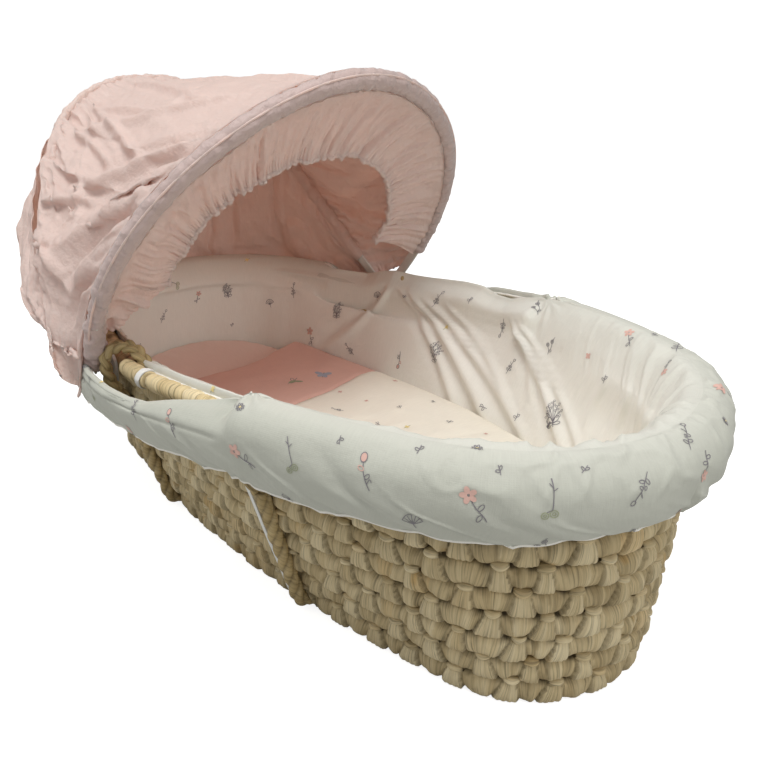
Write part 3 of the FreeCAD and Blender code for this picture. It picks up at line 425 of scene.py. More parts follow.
class Shader:
    """A material's node tree, started with a Principled surface."""

    def __init__(self, name):
        self.material = bpy.data.materials.new(name)
        self.material.use_nodes = True
        self.tree = self.material.node_tree
        self.tree.nodes.clear()
        self.output = self.node("OutputMaterial")
        self.surface = self.node("BsdfPrincipled")
        self.feed(self.output, {0: self.surface.outputs[0]})

    def feed(self, node, inputs):
        """inputs: {name or index: a value, or a socket to link from}."""
        for key, value in inputs.items():
            if isinstance(value, bpy.types.NodeSocket):
                self.tree.links.new(value, node.inputs[key])
            else:
                node.inputs[key].default_value = value

    def node(self, kind, inputs=None, **properties):
        node = self.tree.nodes.new("ShaderNode" + kind)
        for key, value in properties.items():
            setattr(node, key, value)
        self.feed(node, inputs or {})
        return node

    def uv(self, name):
        return self.node("UVMap", uv_map=name).outputs[0]

    def position(self):
        return self.node("NewGeometry").outputs["Position"]

    def scaled(self, vector, scale):
        return self.node("Mapping", {"Vector": vector, "Scale": scale}).outputs[0]

    def noise(self, vector, **inputs):
        return self.node("TexNoise", {"Vector": vector, **inputs}).outputs["Fac"]

    def math(self, operation, *values):
        return self.node("Math", dict(enumerate(values)), operation=operation).outputs[0]

    def mix(self, factor, first, second, mode="MIX"):
        inputs = {0: factor, 6: first, 7: second}
        return self.node("Mix", inputs, data_type="RGBA", blend_type=mode).outputs[2]

    def ramp(self, factor, *stops):
        """stops: (position, colour, or a number for grey)."""
        node = self.node("ValToRGB", {0: factor})
        elements = node.color_ramp.elements
        while len(elements) < len(stops):
            elements.new(0.5)
        for element, (position, color) in zip(elements, stops):
            element.position = position
            element.color = color if isinstance(color, tuple) else (color, color, color, 1)
        return node.outputs[0]

    def bump(self, height, strength, distance, under=None):
        inputs = {"Strength": strength, "Distance": distance, "Height": height}
        if under:
            inputs["Normal"] = under
        return self.node("Bump", inputs).outputs[0]


def cloth_material(name, color, drift, rough=0.85, weave=1400.0, sheen=0.15, wrinkle=0.25,
                   through=None, painted_shade_v=None):
    """Plain-weave cotton: crossed threads, slubs, a soft crumple and a slow colour drift.

    through: (share, colour) of light let through; the last argument gives v of the two stops of
    painted shade, greyer down the fall outside the wall.
    """
    shader = Shader(name)
    uv, position = shader.uv("UVMap"), shader.position()
    threads = [shader.node("TexWave", {"Scale": weave / 6.283, "Distortion": 1.2, "Detail": 1.0,
                                       "Vector": uv},
                           wave_type="BANDS", bands_direction=direction).outputs["Fac"]
               for direction in "XY"]
    weave_height = shader.math("MAXIMUM", *threads)
    broad = shader.noise(position, Scale=14.0, Detail=4.0, Roughness=0.6)
    crumple = shader.noise(position, Scale=70.0, Detail=5.0, Roughness=0.62)
    slubs = shader.noise(shader.scaled(uv, (900.0, 60.0, 1.0)), Scale=1.0, Detail=3.0)
    base = shader.mix(broad, srgb(*color), srgb(*drift))
    base = shader.mix(1.0, base, shader.ramp(slubs, (0.25, 0.94), (0.75, 1.0)), "MULTIPLY")
    if painted_shade_v:
        # painted shade: the cloth greys further down the fall outside the wall, where it hangs in
        # shade
        along = shader.node("SeparateXYZ", {0: uv}).outputs["Y"]
        shade = shader.ramp(along, (0.150, 1.0), (painted_shade_v[0], (0.81, 0.82, 0.80, 1)),
                            (painted_shade_v[1], (0.60, 0.625, 0.59, 1)))
        base = shader.mix(1.0, base, shade, "MULTIPLY")
    roughness = shader.ramp(crumple, (0.3, rough - 0.08), (0.7, min(1, rough + 0.08)))
    soft = shader.bump(crumple, strength=wrinkle, distance=0.004)
    normal = shader.bump(weave_height, strength=0.12, distance=0.0006, under=soft)
    shader.feed(shader.surface, {
        "Base Color": base, "Roughness": roughness, "Normal": normal, "Sheen Weight": sheen,
        "Sheen Roughness": 0.5, "Specular IOR Level": 0.25})
    if through:
        share, tint = through
        back = shader.node("BsdfTranslucent", {"Color": srgb(*tint), "Normal": normal})
        both = shader.node("MixShader", {0: share, 1: shader.surface.outputs[0],
                                         2: back.outputs[0]})
        shader.feed(shader.output, {0: both.outputs[0]})
    return shader.material


def husk_material(name, dark, middling, light, fine=520.0):
    """Dried husk: strands run along the second axis of the "strand" map.

    The tone attribute holds each wrap's own tone (red), painted shade in the crevices (green) and
    warmth (blue).
    """
    shader = Shader(name)
    uv = shader.uv("strand")
    fibre = shader.noise(shader.scaled(uv, (fine, 14.0, 1.0)), Scale=1.0, Detail=4.0,
                         Roughness=0.6, Distortion=0.2)
    blade = shader.noise(shader.scaled(uv, (fine * 0.22, 5.0, 1.0)), Scale=1.0, Detail=3.0,
                         Roughness=0.55)
    tone = shader.node("Attribute", attribute_name="tone").outputs["Color"]
    shade, crevice_shade, warm = shader.node("SeparateColor", {0: tone}).outputs
    level = shader.node("Math", {0: blade, 1: 0.45}, operation="MULTIPLY_ADD")
    shader.feed(level, {2: shader.math("MULTIPLY", shade, 0.55)})
    color = shader.ramp(level.outputs[0], (0.22, srgb(*dark)), (0.5, srgb(*middling)),
                        (0.78, srgb(*light)))
    color = shader.mix(warm, color, srgb(196, 158, 92))
    streaks = shader.ramp(fibre, (0.32, 0.50), (0.45, 0.92), (0.57, 1.14), (0.70, 0.80))
    color = shader.mix(1.0, color, streaks, "MULTIPLY")
    # painted shade: darkens towards brown in the crevices between wraps, rows and knots
    color = shader.mix(shader.math("MULTIPLY", crevice_shade, 0.75), color, srgb(62, 48, 30))
    roughness = shader.ramp(fibre, (0.3, 0.74), (0.7, 0.54))
    normal = shader.bump(fibre, strength=0.55, distance=0.0010)
    normal = shader.bump(blade, strength=0.35, distance=0.003, under=normal)
    shader.feed(shader.surface, {"Base Color": color, "Roughness": roughness,
                                 "Specular IOR Level": 0.35, "Normal": normal})
    return shader.material


def plastic_material(name, color, rough=0.45):
    shader = Shader(name)
    grain = shader.noise(shader.position(), Scale=260.0, Detail=3.0)
    color = srgb(*color)
    darker = (*(channel * 0.94 for channel in color[:3]), 1)
    shader.feed(shader.surface, {
        "Base Color": shader.ramp(grain, (0.3, darker), (0.7, color)),
        "Roughness": shader.ramp(grain, (0.3, rough - 0.06), (0.7, rough + 0.08)),
        "Normal": shader.bump(grain, strength=0.12, distance=0.0004)})
    return shader.material


def ink_material(name, color, drift):
    shader = Shader(name)
    grain = shader.noise(shader.position(), Scale=600.0, Detail=2.0)
    shader.feed(shader.surface, {
        "Base Color": shader.mix(grain, srgb(*color), srgb(*drift)), "Roughness": 0.9,
        "Normal": shader.bump(grain, strength=0.1, distance=0.0003)})
    return shader.material


HUSK = husk_material("woven_husk", (136, 116, 78), (196, 178, 138), (230, 216, 180))
ROPE = husk_material("braided_rope", (134, 116, 78), (186, 168, 126), (218, 203, 166), fine=420.0)
GRIP = husk_material("grip_wrap", (196, 174, 126), (226, 209, 168), (242, 230, 198), fine=380.0)
COTTON = cloth_material("printed_cotton", (241, 239, 231), (246, 244, 237), rough=0.84,
                        painted_shade_v=(0.205, 0.262))
PINK = cloth_material("pink_cotton", (246, 234, 228), (250, 241, 236), rough=0.62,
                      through=(0.40, (252, 214, 196)), wrinkle=0.85)
SHEET = cloth_material("sheet_cotton", (247, 220, 210), (249, 226, 217), rough=0.9)
BAND = cloth_material("band_cotton", (232, 186, 172), (236, 194, 181), rough=0.9)
CREAM = cloth_material("cream_cotton", (249, 243, 228), (251, 246, 233), rough=0.9)
BINDING = cloth_material("pale_binding", (192, 170, 165), (206, 184, 179), rough=0.34, sheen=0.3,
                         wrinkle=1.0)
TAPE = cloth_material("white_tape", (238, 238, 234), (246, 246, 243), weave=2400)
TICKING = cloth_material("mattress_ticking", (236, 234, 226), (242, 240, 234), rough=0.9)
HOOP_PLASTIC = plastic_material("hoop_plastic", (232, 230, 224))
CLIP_PLASTIC = plastic_material("clip_plastic", (226, 224, 218), rough=0.5)
# inks by the letter used in the print tables and object names
INKS = {
    "g": ink_material("print_grey", (122, 118, 124), (142, 138, 144)),
    "b": ink_material("print_blue", (164, 168, 184), (180, 184, 198)),
    "p": ink_material("print_pink", (214, 172, 160), (224, 188, 176)),
    "y": ink_material("print_yellow", (232, 212, 140), (238, 220, 160)),
    "l": ink_material("print_green", (158, 164, 132), (172, 176, 146)),
}

# ------------------------------------------------------------------ the woven wall
FANS_PER_ROW = 42
TOP_ROW = 8
ROW_DEPTH = 0.020     # wall thickness
CUT_Z = 0.0175        # underside of row one where ropes and tape pass


def row_oval(row):
    """Outer outline of a row; row may be fractional."""
    return Oval(0.37637 + 0.003657 * row - 0.0002286 * row * row,
                0.13714 + 0.009786 * row - 0.0002286 * row * row,
                0.1115 + 0.0065 * row)


def wall_y(x, z):
    """Outer face of the woven wall on the long side at (x, z)."""
    return row_oval(np.clip(z / PITCH + 0.5, 1, TOP_ROW)).side_y(x)


def draw_fans(random):
    """A row's fan-shaped stitches: place round the row, and each one's own variation."""
    place = np.arange(FANS_PER_ROW) + 0.5 * (row % 2) + 0.12 * random.uniform(-1, 1, FANS_PER_ROW)
    return dict(turn=np.mod(place / FANS_PER_ROW, 1.0),
                skew=random.uniform(-0.004, 0.004, FANS_PER_ROW),
                width=random.uniform(0.85, 1.2, FANS_PER_ROW),
                tone=random.rand(FANS_PER_ROW),
                lift=random.uniform(0.8, 1.25, FANS_PER_ROW))


FANS = []
fan_random = np.random.RandomState(5)
for row in range(TOP_ROW + 1):
    FANS.append(draw_fans(fan_random))


def nearest_fan(dist, fans, length):
    """Signed distance to the nearest fan, and its index."""
    order = np.argsort(fans["turn"])
    place = fans["turn"][order] * length
    count = len(place)
    after = np.searchsorted(place, dist)
    below, above = place[(after - 1) % count], place[after % count]
    from_below = dist - np.where(after == 0, below - length, below)
    from_above = dist - np.where(after == count, above + length, above)
    use = np.abs(from_below) < np.abs(from_above)
    return (np.where(use, from_below, from_above),
            np.where(use, order[(after - 1) % count], order[after % count]))


def wall_row(row, step):
    oval, fans = row_oval(row), FANS[row]
    count = int(oval.length / step)
    # section angles, dense on the outer side
    section = np.concatenate([np.linspace(-1.95, 1.95, 27),
                              np.linspace(1.95, TAU - 1.95, 8)[1:-1]])
    dist, angle = lattice(np.arange(count) / count * oval.length, section)
    cos = np.cos(angle)
    outward, upward = blunt(cos, 0.84), blunt(np.sin(angle), 0.84)
    outer = ease(-0.3, 0.25, cos)
    down = (1 - upward) / 2  # 0 at the row's top, 1 at its foot
    gap, fan = nearest_fan(dist, fans, oval.length)
    gap_below, _ = nearest_fan(dist, FANS[row - 1], oval.length)
    away = np.abs(gap)
    # fans widen downwards; across is +-1 at a fan's edges
    fan_width = (0.0046 + 0.0056 * down ** 0.9) * fans["width"][fan]
    across = (gap - fans["skew"][fan] * down) / fan_width
    off_centre = np.abs(across)
    inside = (off_centre < 1) & (row < TOP_ROW)
    edge = ease(1.0, 0.86, off_centre)
    fan_height = (0.0017 * fans["lift"][fan] * edge * (0.75 + 0.25 * (1 - off_centre ** 2))
                  * ease(-0.05, 0.12, down) * (1 - 0.35 * ease(0.8, 1.0, down)))
    ribs = 0.00045 * np.cos(across * math.pi * 4.2 + fans["tone"][fan] * 9) * edge
    # wound body between the fans: bands of husk, each with its own height
    wound = dist + 0.9 * gap_below * bell(gap_below, 0.013) * down ** 1.5
    band = np.floor(wound / 0.016 + 0.35 * noise(wound / 0.03, row, 4))
    band_tone = noise(band * 3.7, row * 9.1, 8)
    fine = (0.00030 * noise(wound / 0.0021, down * 1.2 + row * 7, 2)
            + 0.0005 * noise(wound / 0.006, down * 0.8 + row * 3, 3))
    bulge = (-0.0015 * np.cos(gap / oval.length * FANS_PER_ROW * TAU)
             * (0.6 + 0.4 * noise(dist / 0.05, row, 6)) - 0.0022 * bell(away - 0.0125, 0.0045))
    # drawn in over the fans below, beside each fan's head and along its flanks
    pinch = -0.0042 * bell(gap_below, 0.0085) * ease(0.55, 0.95, down) * (row > 1)
    dent = -0.0030 * bell(away - 0.013, 0.0055) * ease(0.35, 0.0, down)
    groove = (-0.0022 * ease(0.80, 0.70, 1.72 - off_centre) * ease(1.45, 1.0, off_centre)
              * ease(0.1, 0.4, down) * (off_centre > 1))
    relief = np.where(inside, fan_height + ribs, 0.0006 * band_tone + bulge)
    relief = (relief + fine + pinch + dent + groove) * outer
    x, y, nx, ny = oval.at(dist)
    out = (-ROW_DEPTH / 2 + (ROW_DEPTH / 2 + 0.0002) * outward + relief * np.maximum(outward, 0)
           + 0.0011 * fractal(dist / 0.11, row * 5.3, 12, 2))
    z = ((row - 0.5) * PITCH + (PITCH / 2 + 0.0003) * upward + relief * upward * 0.5 * outer
         + 0.0009 * fractal(dist / 0.13, row * 2.9, 21, 2))
    x, y = x + nx * out, y + ny * out
    if row == 1:
        z = np.maximum(z, 0.0004)
        # its underside is cut away for the slings and the near tape
        for cut_x, half, where in ((-SLING_X, 0.010, 1), (SLING_X, 0.010, 1),
                                   (TAPE_X, 0.006, y < 0)):
            z = z + np.maximum(CUT_Z - z, 0) * np.exp(-((x - cut_x) / half) ** 4) * where
    strand_u = wrap_cols(wrap_rows(np.where(inside, 0.011 * across + fan * 0.173, wound), 0.001))
    strand_v = wrap_rows(down * 0.03 + row * 0.2)
    strand_v = np.hstack([strand_v, strand_v[:, -1:] + 0.003])
    tone = np.where(inside, fans["tone"][fan] * 0.30 + 0.50, 0.50 + 0.17 * band_tone)
    tone = np.clip(tone + 0.10 * noise(dist / 0.2, row, 31), 0, 1)
    # painted shade in the gaps: along each row's top and foot, beside each fan's head, over the fans
    # below and down the fans' flanks
    crevice_shade = (ease(0.86, 1.0, np.abs(upward)) * 0.40 * outer
               + bell(away - 0.0095, 0.0032) * ease(0.16, 0.0, down)
               + 0.7 * bell(np.abs(gap_below) - 0.0095, 0.0035) * ease(0.88, 1.0, down))
    flank_shade = np.where(~inside, 0.35 * ease(1.25, 1.0, off_centre) * ease(0.02, 0.2, down),
                     0.15 * ease(0.9, 1.0, off_centre))
    crevice_shade = np.clip(crevice_shade + flank_shade * (row < TOP_ROW), 0, 1)
    warm = (0.35 * ease(0.45, 0.9, noise(band * 1.9, row * 4.4, 15))
            + 0.5 * ease(0.75, 0.95, noise(dist / 0.012, row * 3.3 + down, 16)))
    uv = (strand_u, strand_v)
    grid("woven_row_%02d" % row, np.stack([x, y, z], -1), HUSK, loop_u=True, loop_v=True, uv=uv,
         strand=uv, tone=tones(tone, crevice_shade, np.clip(warm, 0, 1)), node="wall_coil_%02d" % row)


def stitch_knots():
    """A knot between two rows at the head of every fan, all in one mesh."""
    verts, faces, tone, corners = [], [], [], []
    rows, cols = 14, 10
    height, depth = 0.0042, 0.0062
    angle, bend = lattice(circle(rows), np.linspace(-1.35, 1.35, cols))
    share = bend / 1.35
    cos, sin = np.cos(angle), np.sin(angle)
    plump = np.cos(bend * 0.98) ** 0.4
    ridges = 1 + 0.16 * np.cos(3 * (angle - 0.4)) * (np.abs(sin) < 0.95)
    out = -0.0042 + depth * cos * plump * ridges - 0.0022 * share ** 2
    index = wrap(np.arange(rows * cols).reshape(rows, cols), True, False)
    # painted shade round the knot's edges, where it sinks between the rows
    crevice_shade = 0.55 * ease(0.75, 1.0, np.abs(share)) + 0.25 * ease(0.6, 1, np.abs(sin))
    for row in range(1, TOP_ROW):
        fans = FANS[row]
        for j in range(FANS_PER_ROW):
            x0, y0, nx, ny = row_oval(row).at_turn(fans["turn"][j])
            x1, y1, _, _ = row_oval(row + 1).at_turn(fans["turn"][j])
            along = 0.0068 * (0.85 + 0.3 * fans["tone"][j]) * share
            sag = 0.0016 * share ** 2 * (1 if j % 2 else -0.4)
            z = row * PITCH + 0.0004 * noise(j * 1.7, row, 5)
            points = np.stack([(x0 + x1) / 2 - ny * along + nx * out,
                               (y0 + y1) / 2 + nx * along + ny * out,
                               z + height * sin * plump * ridges + sag], -1)
            faces.append(quads(index + len(verts) * rows * cols, True))
            verts.append(points.reshape(-1, 3))
            uv = [wrap_rows(angle * 0.004, 0.025) + j * 0.05, wrap_rows(along) * 2 + j * 0.31 + row]
            corners.append(quads(np.stack(uv, -1), True))
            shade = 0.45 + 0.4 * fans["tone"][(j * 7) % FANS_PER_ROW]
            warm = 0.2 * (fans["tone"][(j * 3) % FANS_PER_ROW] > 0.8)
            tone.append(tones(shade, crevice_shade, warm).reshape(-1, 4))
    corners = np.concatenate(corners)
    build_mesh("stitch_knots", np.concatenate(verts), np.concatenate(faces), HUSK,
               {"UVMap": corners, "strand": corners}, np.concatenate(tone))


for row in range(1, TOP_ROW + 1):
    wall_row(row, step=0.00165 if row < TOP_ROW else 0.0030)
stitch_knots()


# ------------------------------------------------------------------ base mat
def base_part(node):
    """A base piece's outline, middle height and half height."""
    low, high = box(node)
    first = row_oval(1)
    oval = first.grown((high[0] - low[0]) / 2 - first.half_l)
    return oval, (low[2] + high[2]) / 2, (high[2] - low[2]) / 2


def base_ring(name, node):
    oval, mid_z, half_z = base_part(node)
    half_width = 0.011
    dist, angle = lattice(np.arange(420) / 420 * oval.length, circle(16))
    relief = (0.0006 * noise(dist / 0.004, angle, 3)
              + 0.0008 * np.cos(dist / 0.046 * 2 * math.pi))
    x, y, nx, ny = oval.at(dist)
    out = -half_width + (half_width + relief) * blunt(np.cos(angle), 0.8)
    z = mid_z + half_z * blunt(np.sin(angle), 0.8) * (1 + relief / half_z * 0.5)
    uv = (wrap_cols(wrap_rows(dist, oval.length)), wrap_cols(wrap_rows(angle) * 0.008, 0.05))
    # second channel: painted shade on the inner and outer faces, where neighbouring coils touch
    tone = tones(0.5 + 0.4 * noise(dist / 0.02, 0, 5), 0.5 * np.abs(np.cos(angle)) ** 6, 0)
    grid(name, np.stack([x + nx * out, y + ny * out, z], -1), HUSK, loop_u=True, loop_v=True,
         uv=uv, strand=uv, tone=tone, node=node)


def base_core():
    oval, mid_z, half_z = base_part("base_core")
    turn, share = lattice(np.arange(200) / 200, np.linspace(0.0, 1.0, 14))
    x, y, _, _ = oval.at_turn(turn)
    size = np.sin(share * math.pi) ** 0.35
    points = np.stack([x * size, y * size, mid_z + half_z * np.cos(share * math.pi)], -1)
    grid("base_mat_core", points, HUSK, loop_u=True, strand=(wrap_rows(x), wrap_rows(y)),
         tone=tones(0.5 + 0 * x, 0, 0), flip=True, node="base_core")


for j in range(1, 5):
    base_ring("base_mat_coil_%02d" % j, "base_coil_%02d" % j)
base_core()


# ------------------------------------------------------------------ slings and near tape
def twisted_rope(name, path, node):
    """Three-strand twisted rope along a path in a plane of constant x."""
    radius, pitch, strands, depth, seed = 0.0076, 0.056, 3, 0.30, 3
    sides = 22
    dist, angle = lattice(arc_lengths(path, 0), circle(sides))
    phase = strands * (angle - TAU * dist / pitch)
    lobe = np.abs(np.cos(phase / 2)) ** 0.75
    swell = (radius * (1 - depth + depth * lobe)
             + 0.0002 * noise(dist / 0.003, angle * 2, seed))
    points = tube_points(path, swell, sides, (1, 0, 0))
    strand = np.floor(phase / TAU + 0.5)
    # second channel: painted shade in the grooves between the strands
    tone = tones(0.5 + 0.25 * noise(strand * 1.3 + dist * 12, 3.0, seed), 0.8 * (1 - lobe) ** 2,
                 0.15)
    dist, angle = wrap_cols(dist), wrap_cols(angle, TAU)
    uv = (dist * 0.6 + angle * 0.004, angle * 0.01 - dist * 0.5)
    points, tone, uv = capped(points, tone, uv)
    points[..., 2] = np.maximum(points[..., 2], 0.0006)
    grid(name, points, ROPE, loop_v=True, uv=uv, strand=uv, tone=tone, node=node)


SLING_TOP = 0.1475


def sling(node, x):
    """Down the near wall, under the base and up the far wall."""
    path = [(x, -(wall_y(x, z) + 0.0062 + 0.0010 * noise(z * 60, x, 2)), z)
            for z in np.linspace(SLING_TOP, 0.026, 40)]
    wall_foot = path[-1][1]
    for angle in np.linspace(0.2, math.pi / 2, 8):
        path.append((x, wall_foot + 0.0125 * (1 - math.cos(angle)) + 0.001 * angle,
                     0.026 - 0.0175 * math.sin(angle)))
    path += [(x, y, 0.0085) for y in np.linspace(path[-1][1] + 0.01, -0.01, 12)]
    path = np.array(path)
    path = np.vstack([path, (path * np.array([1, -1, 1]))[::-1]])
    twisted_rope(node + "_rope", resample(path, 300), node)


def loose_tape():
    """Narrow tape beside the foot-end sling: loose, slightly wavy."""
    path = []
    for z in np.linspace(0.172, 0.020, 60):
        path.append((TAPE_X - 0.003 + 0.007 * ease(0.17, 0.02, z) + 0.0016 * noise(z * 30, 0, 8),
                     -(wall_y(TAPE_X, z) + 0.0066 + 0.0012 * (1 + noise(z * 22, 1, 9))), z))
    wall_foot = path[-1][1]
    x = TAPE_X + 0.006
    for angle in np.linspace(0.15, 1.5, 8):
        path.append((x, wall_foot + 0.013 * (1 - math.cos(angle)),
                     0.020 - 0.0125 * math.sin(angle)))
    path += [(x, y, 0.0072) for y in np.linspace(path[-1][1] + 0.01, -0.062, 6)]
    path = resample(path, 120)
    _, across, outward = frames_along(path, (1, 0, 0))
    half = 0.0031
    width = np.linspace(-half, half, 5)[None, :, None]
    points = (path[:, None] + across[:, None] * width
              + outward[:, None] * 0.0005 * np.cos(width / half * 1.5))
    grid("loose_tape", points, TAPE, thick=0.0008, node="tie_tape_near")


sling("rope_sling_head", -SLING_X)
sling("rope_sling_foot", SLING_X)
loose_tape()

# ------------------------------------------------------------------ the cotton dressing
# One cloth: up inside the wall, over a padded roll on the rim and down outside to the hem,
# with a slit over each handle.
PAD_R = 0.0286
ROLL = Oval(HALF_L - PAD_R, HALF_W - PAD_R + 0.0014, 0.1714)  # centre line of the roll
SLIT_X0, SLIT_X1 = -0.240, 0.134


def crest(x):
    """Height of the roll's top: level at the head, rising to the foot."""
    u = np.asarray(x) / HALF_L
    level = 0.2335 - 0.0515 * 0.34 - 0.0356 * 0.34 ** 2
    rising = 0.2335 + 0.0515 * u - 0.0356 * u * u
    return np.where(u < -0.34, level - 0.002 * (-u - 0.34), rising) - 0.0006


def hem_z(x):
    u = np.asarray(x) / HALF_L
    level = 0.1592 - 0.0515 * 0.45 - 0.024 * 0.45 ** 2
    rising = 0.1592 + 0.0515 * u - 0.024 * u * u
    return np.where(u < -0.45, level - 0.004 * (-u - 0.45), rising)


def slit_open(x):
    return ease(SLIT_X0, SLIT_X0 + 0.03, x) * ease(SLIT_X1, SLIT_X1 - 0.016, x)


def ring(turn, out, rise):
    """Line at an offset from the roll's centre line and a rise from its crest."""
    x, y, nx, ny = ROLL.at_turn(turn)
    return np.stack([x + nx * out, y + ny * out, crest(x) + rise], -1)


# section of the closed roll: (offset from its centre line, rise from its crest)
INNER_ROLL = [(-0.0348, -0.0500), (-0.0316, -0.0370), (-0.0272, -0.0250), (-0.0214, -0.0145),
              (-0.0146, -0.0064), (-0.0074, -0.0016), (0.0, 0.0), (0.0, 0.0), (0.0, 0.0)]
OUTER_ROLL = [(0.0, 0.0), (0.0074, -0.0010), (0.0143, -0.0038), (0.0219, -0.0102),
              (0.0269, -0.0188), (0.0286, -0.0286), (0.0284, -0.0400)]
# lining against the wall: half length, half width, end radius, z
WALL_LINING = [(0.3550, 0.1222, 0.0935, 0.036), (0.3570, 0.1400, 0.1080, 0.085),
               (0.3595, 0.1545, 0.1200, 0.130), (0.3620, 0.1680, 0.1320, 0.168)]
# fall outside the wall: (share of the way down to the hem, offset from the roll's centre line)
OUTER_FALL = [(0.35, 0.0262), (0.62, 0.0225), (0.82, 0.0185), (1.0, 0.0140)]
# lips of the slits: x stations, offsets and rises like those of the roll. The near slit
# stands open round the grip, the far one is nearly shut.
FAR_X = [-0.24, -0.16, -0.138, -0.112, -0.088, -0.05, 0.0, 0.030, 0.054, 0.076, 0.098, 0.114, 0.127]
LIPS = {
    ("outer", "near"): (
        [-0.24, -0.17, -0.117, -0.06, -0.02, 0.01, 0.045, 0.08, 0.105, 0.127],
        [0.014, 0.019, 0.0250, 0.0250, 0.0225, 0.0185, 0.0130, 0.0065, -0.0035, -0.0092],
        [-0.008, -0.0150, -0.0235, -0.0285, -0.0305, -0.030, -0.0215, -0.0155, -0.0125, -0.0105]),
    ("inner", "near"): (
        [-0.24, -0.15, -0.118, -0.055, 0.0, 0.05, 0.094, 0.127],
        [-0.022, -0.0205, -0.0225, -0.0215, -0.0195, -0.0165, -0.0150, -0.0118],
        [-0.010, -0.011, -0.0130, -0.0130, -0.0125, -0.0120, -0.0115, -0.0108]),
    ("inner", "far"): (
        FAR_X,
        [-0.014, -0.0145, -0.0175, -0.0180, -0.0165, -0.0140, -0.013, -0.0140, -0.0155, -0.0155,
         -0.0115, -0.0080, -0.0056],
        [-0.002, 0.0015, 0.0075, 0.0085, 0.0045, 0.0015, 0.0000, -0.0020, -0.0078, -0.0086,
         -0.0042, -0.0020, -0.0008]),
    ("outer", "far"): (
        FAR_X,
        [0.018, 0.015, 0.014, 0.013, 0.012, 0.010, 0.008, 0.006, 0.005, 0.002, -0.0022, -0.0022,
         -0.0020],
        [-0.020, -0.020, -0.019, -0.0185, -0.018, -0.015, -0.012, -0.0070, -0.0060, -0.0050,
         -0.0022, -0.0010, -0.0006]),
}
# drape folds of the lining: side, from (x, z), to (x, z), width, height
FOLDS = [
    (1, (-0.085, 0.205), (0.050, 0.100), 0.0065, 0.0050),
    (1, (-0.070, 0.206), (0.108, 0.098), 0.0080, 0.0068),
    (1, (-0.052, 0.207), (0.170, 0.100), 0.0060, 0.0048),
    (1, (-0.010, 0.206), (0.128, 0.130), 0.0050, 0.0030),
    (1, (0.098, 0.214), (0.222, 0.108), 0.0075, 0.0068),
    (1, (0.106, 0.218), (0.250, 0.112), 0.0050, 0.0035),
    (1, (0.102, 0.210), (0.150, 0.150), 0.0050, 0.0030),
    (-1, (-0.080, 0.205), (0.055, 0.100), 0.0070, 0.0050),
    (-1, (-0.060, 0.205), (0.130, 0.100), 0.0075, 0.0055),
    (-1, (0.100, 0.212), (0.220, 0.108), 0.0075, 0.0055),
    (-1, (-0.110, 0.205), (-0.200, 0.110), 0.0070, 0.0045),
    (1, (-0.105, 0.205), (-0.190, 0.105), 0.0070, 0.0045),
]
COLUMNS = 1150    # round the basket
WALL_ROWS = 34    # lattice rows of the lining below the roll
TAIL = 12         # last lining rows, turned down inside an open slit


def lip(turn, which):
    x, y, _, _ = ROLL.at_turn(turn)
    near, far = LIPS[which, "near"], LIPS[which, "far"]
    return [np.where(y < 0, np.interp(x, near[0], near[i]), np.interp(x, far[0], far[i]))
            for i in (1, 2)]


def inner_levels(turn):
    x = ROLL.at_turn(turn)[0]
    opened = slit_open(x)
    levels = [oval_line(Oval(*sizes), turn, z) for *sizes, z in WALL_LINING]
    out, rise = lip(turn, "inner")
    slit = [(-0.0362, -0.0460), (-0.0350, mix(rise, -0.046, 0.62)),
            (np.minimum(-0.0330, out - 0.010), mix(rise, -0.046, 0.30)),
            (out - 0.0052, rise - 0.0046), (out - 0.0004, rise), (out + 0.0022, rise - 0.0016),
            (out + 0.0034, rise - 0.0080), (out + 0.0030, rise - 0.0190),
            (out + 0.0010, np.minimum(rise - 0.022, -0.0330))]
    squash = np.minimum(1.0, (crest(x) - 0.179) / 0.050)
    for (out0, rise0), (out1, rise1) in zip(INNER_ROLL, slit):
        levels.append(ring(turn, mix(out0, out1, opened), mix(rise0 * squash, rise1, opened)))
    return np.array(levels)


def outer_levels(turn):
    x = ROLL.at_turn(turn)[0]
    opened = slit_open(x)
    out, rise = lip(turn, "outer")
    wide = np.maximum(0.0283, out + 0.0055)
    slit = [(out - 0.0030, rise - 0.0085), (out - 0.0026, rise - 0.0028), (out + 0.0002, rise),
            (out + 0.0034, rise - 0.0012), (mix(out, wide, 0.62), mix(rise, -0.042, 0.20)),
            (wide, mix(rise, -0.042, 0.55)), (np.maximum(0.0288, out + 0.004), -0.0420)]
    levels = [ring(turn, mix(out0, out1, opened), mix(rise0, rise1, opened))
              for (out0, rise0), (out1, rise1) in zip(OUTER_ROLL, slit)]
    for share, offset in OUTER_FALL:
        oval = ROLL.grown(offset)
        x = oval.at_turn(turn)[0]
        levels.append(oval_line(oval, turn, mix(crest(x) - 0.040, hem_z(x), share)))
    return np.array(levels)


def drape_folds(points):
    relief = np.zeros(points.shape[:-1])
    for side, start, end, width, height in FOLDS:
        run = np.array(end) - np.array(start)
        length = np.linalg.norm(run)
        offset = points[..., [0, 2]] - np.array(start)
        share = (offset @ run) / length ** 2
        inner_share = np.clip(share, 0, 1)
        away = (offset[..., 0] * run[1] - offset[..., 1] * run[0]) / length
        away = away + 0.006 * np.sin(inner_share * math.pi)
        spread = width * (0.55 + 0.75 * inner_share)
        profile = bell(away, spread) - 0.45 * bell(away - spread * 1.7, spread * 1.1)
        ends = ease(-0.06, 0.10, share) * ease(1.08, 0.85, share)
        relief += height * profile * ends * (points[..., 1] * side > 0.02)
    return relief


def slit_gathers(points, side, height, phase, radius):
    """Gathers fanning from the foot end of a slit."""
    away_x, away_y = points[..., 0] - (SLIT_X1 - 0.006), points[..., 1] - side * 0.194
    fan = np.sin(np.arctan2(away_y, away_x) * 11 + phase)
    return height * fan * bell(np.hypot(away_x, away_y) - radius, 0.014) * (points[..., 2] > 0.17)


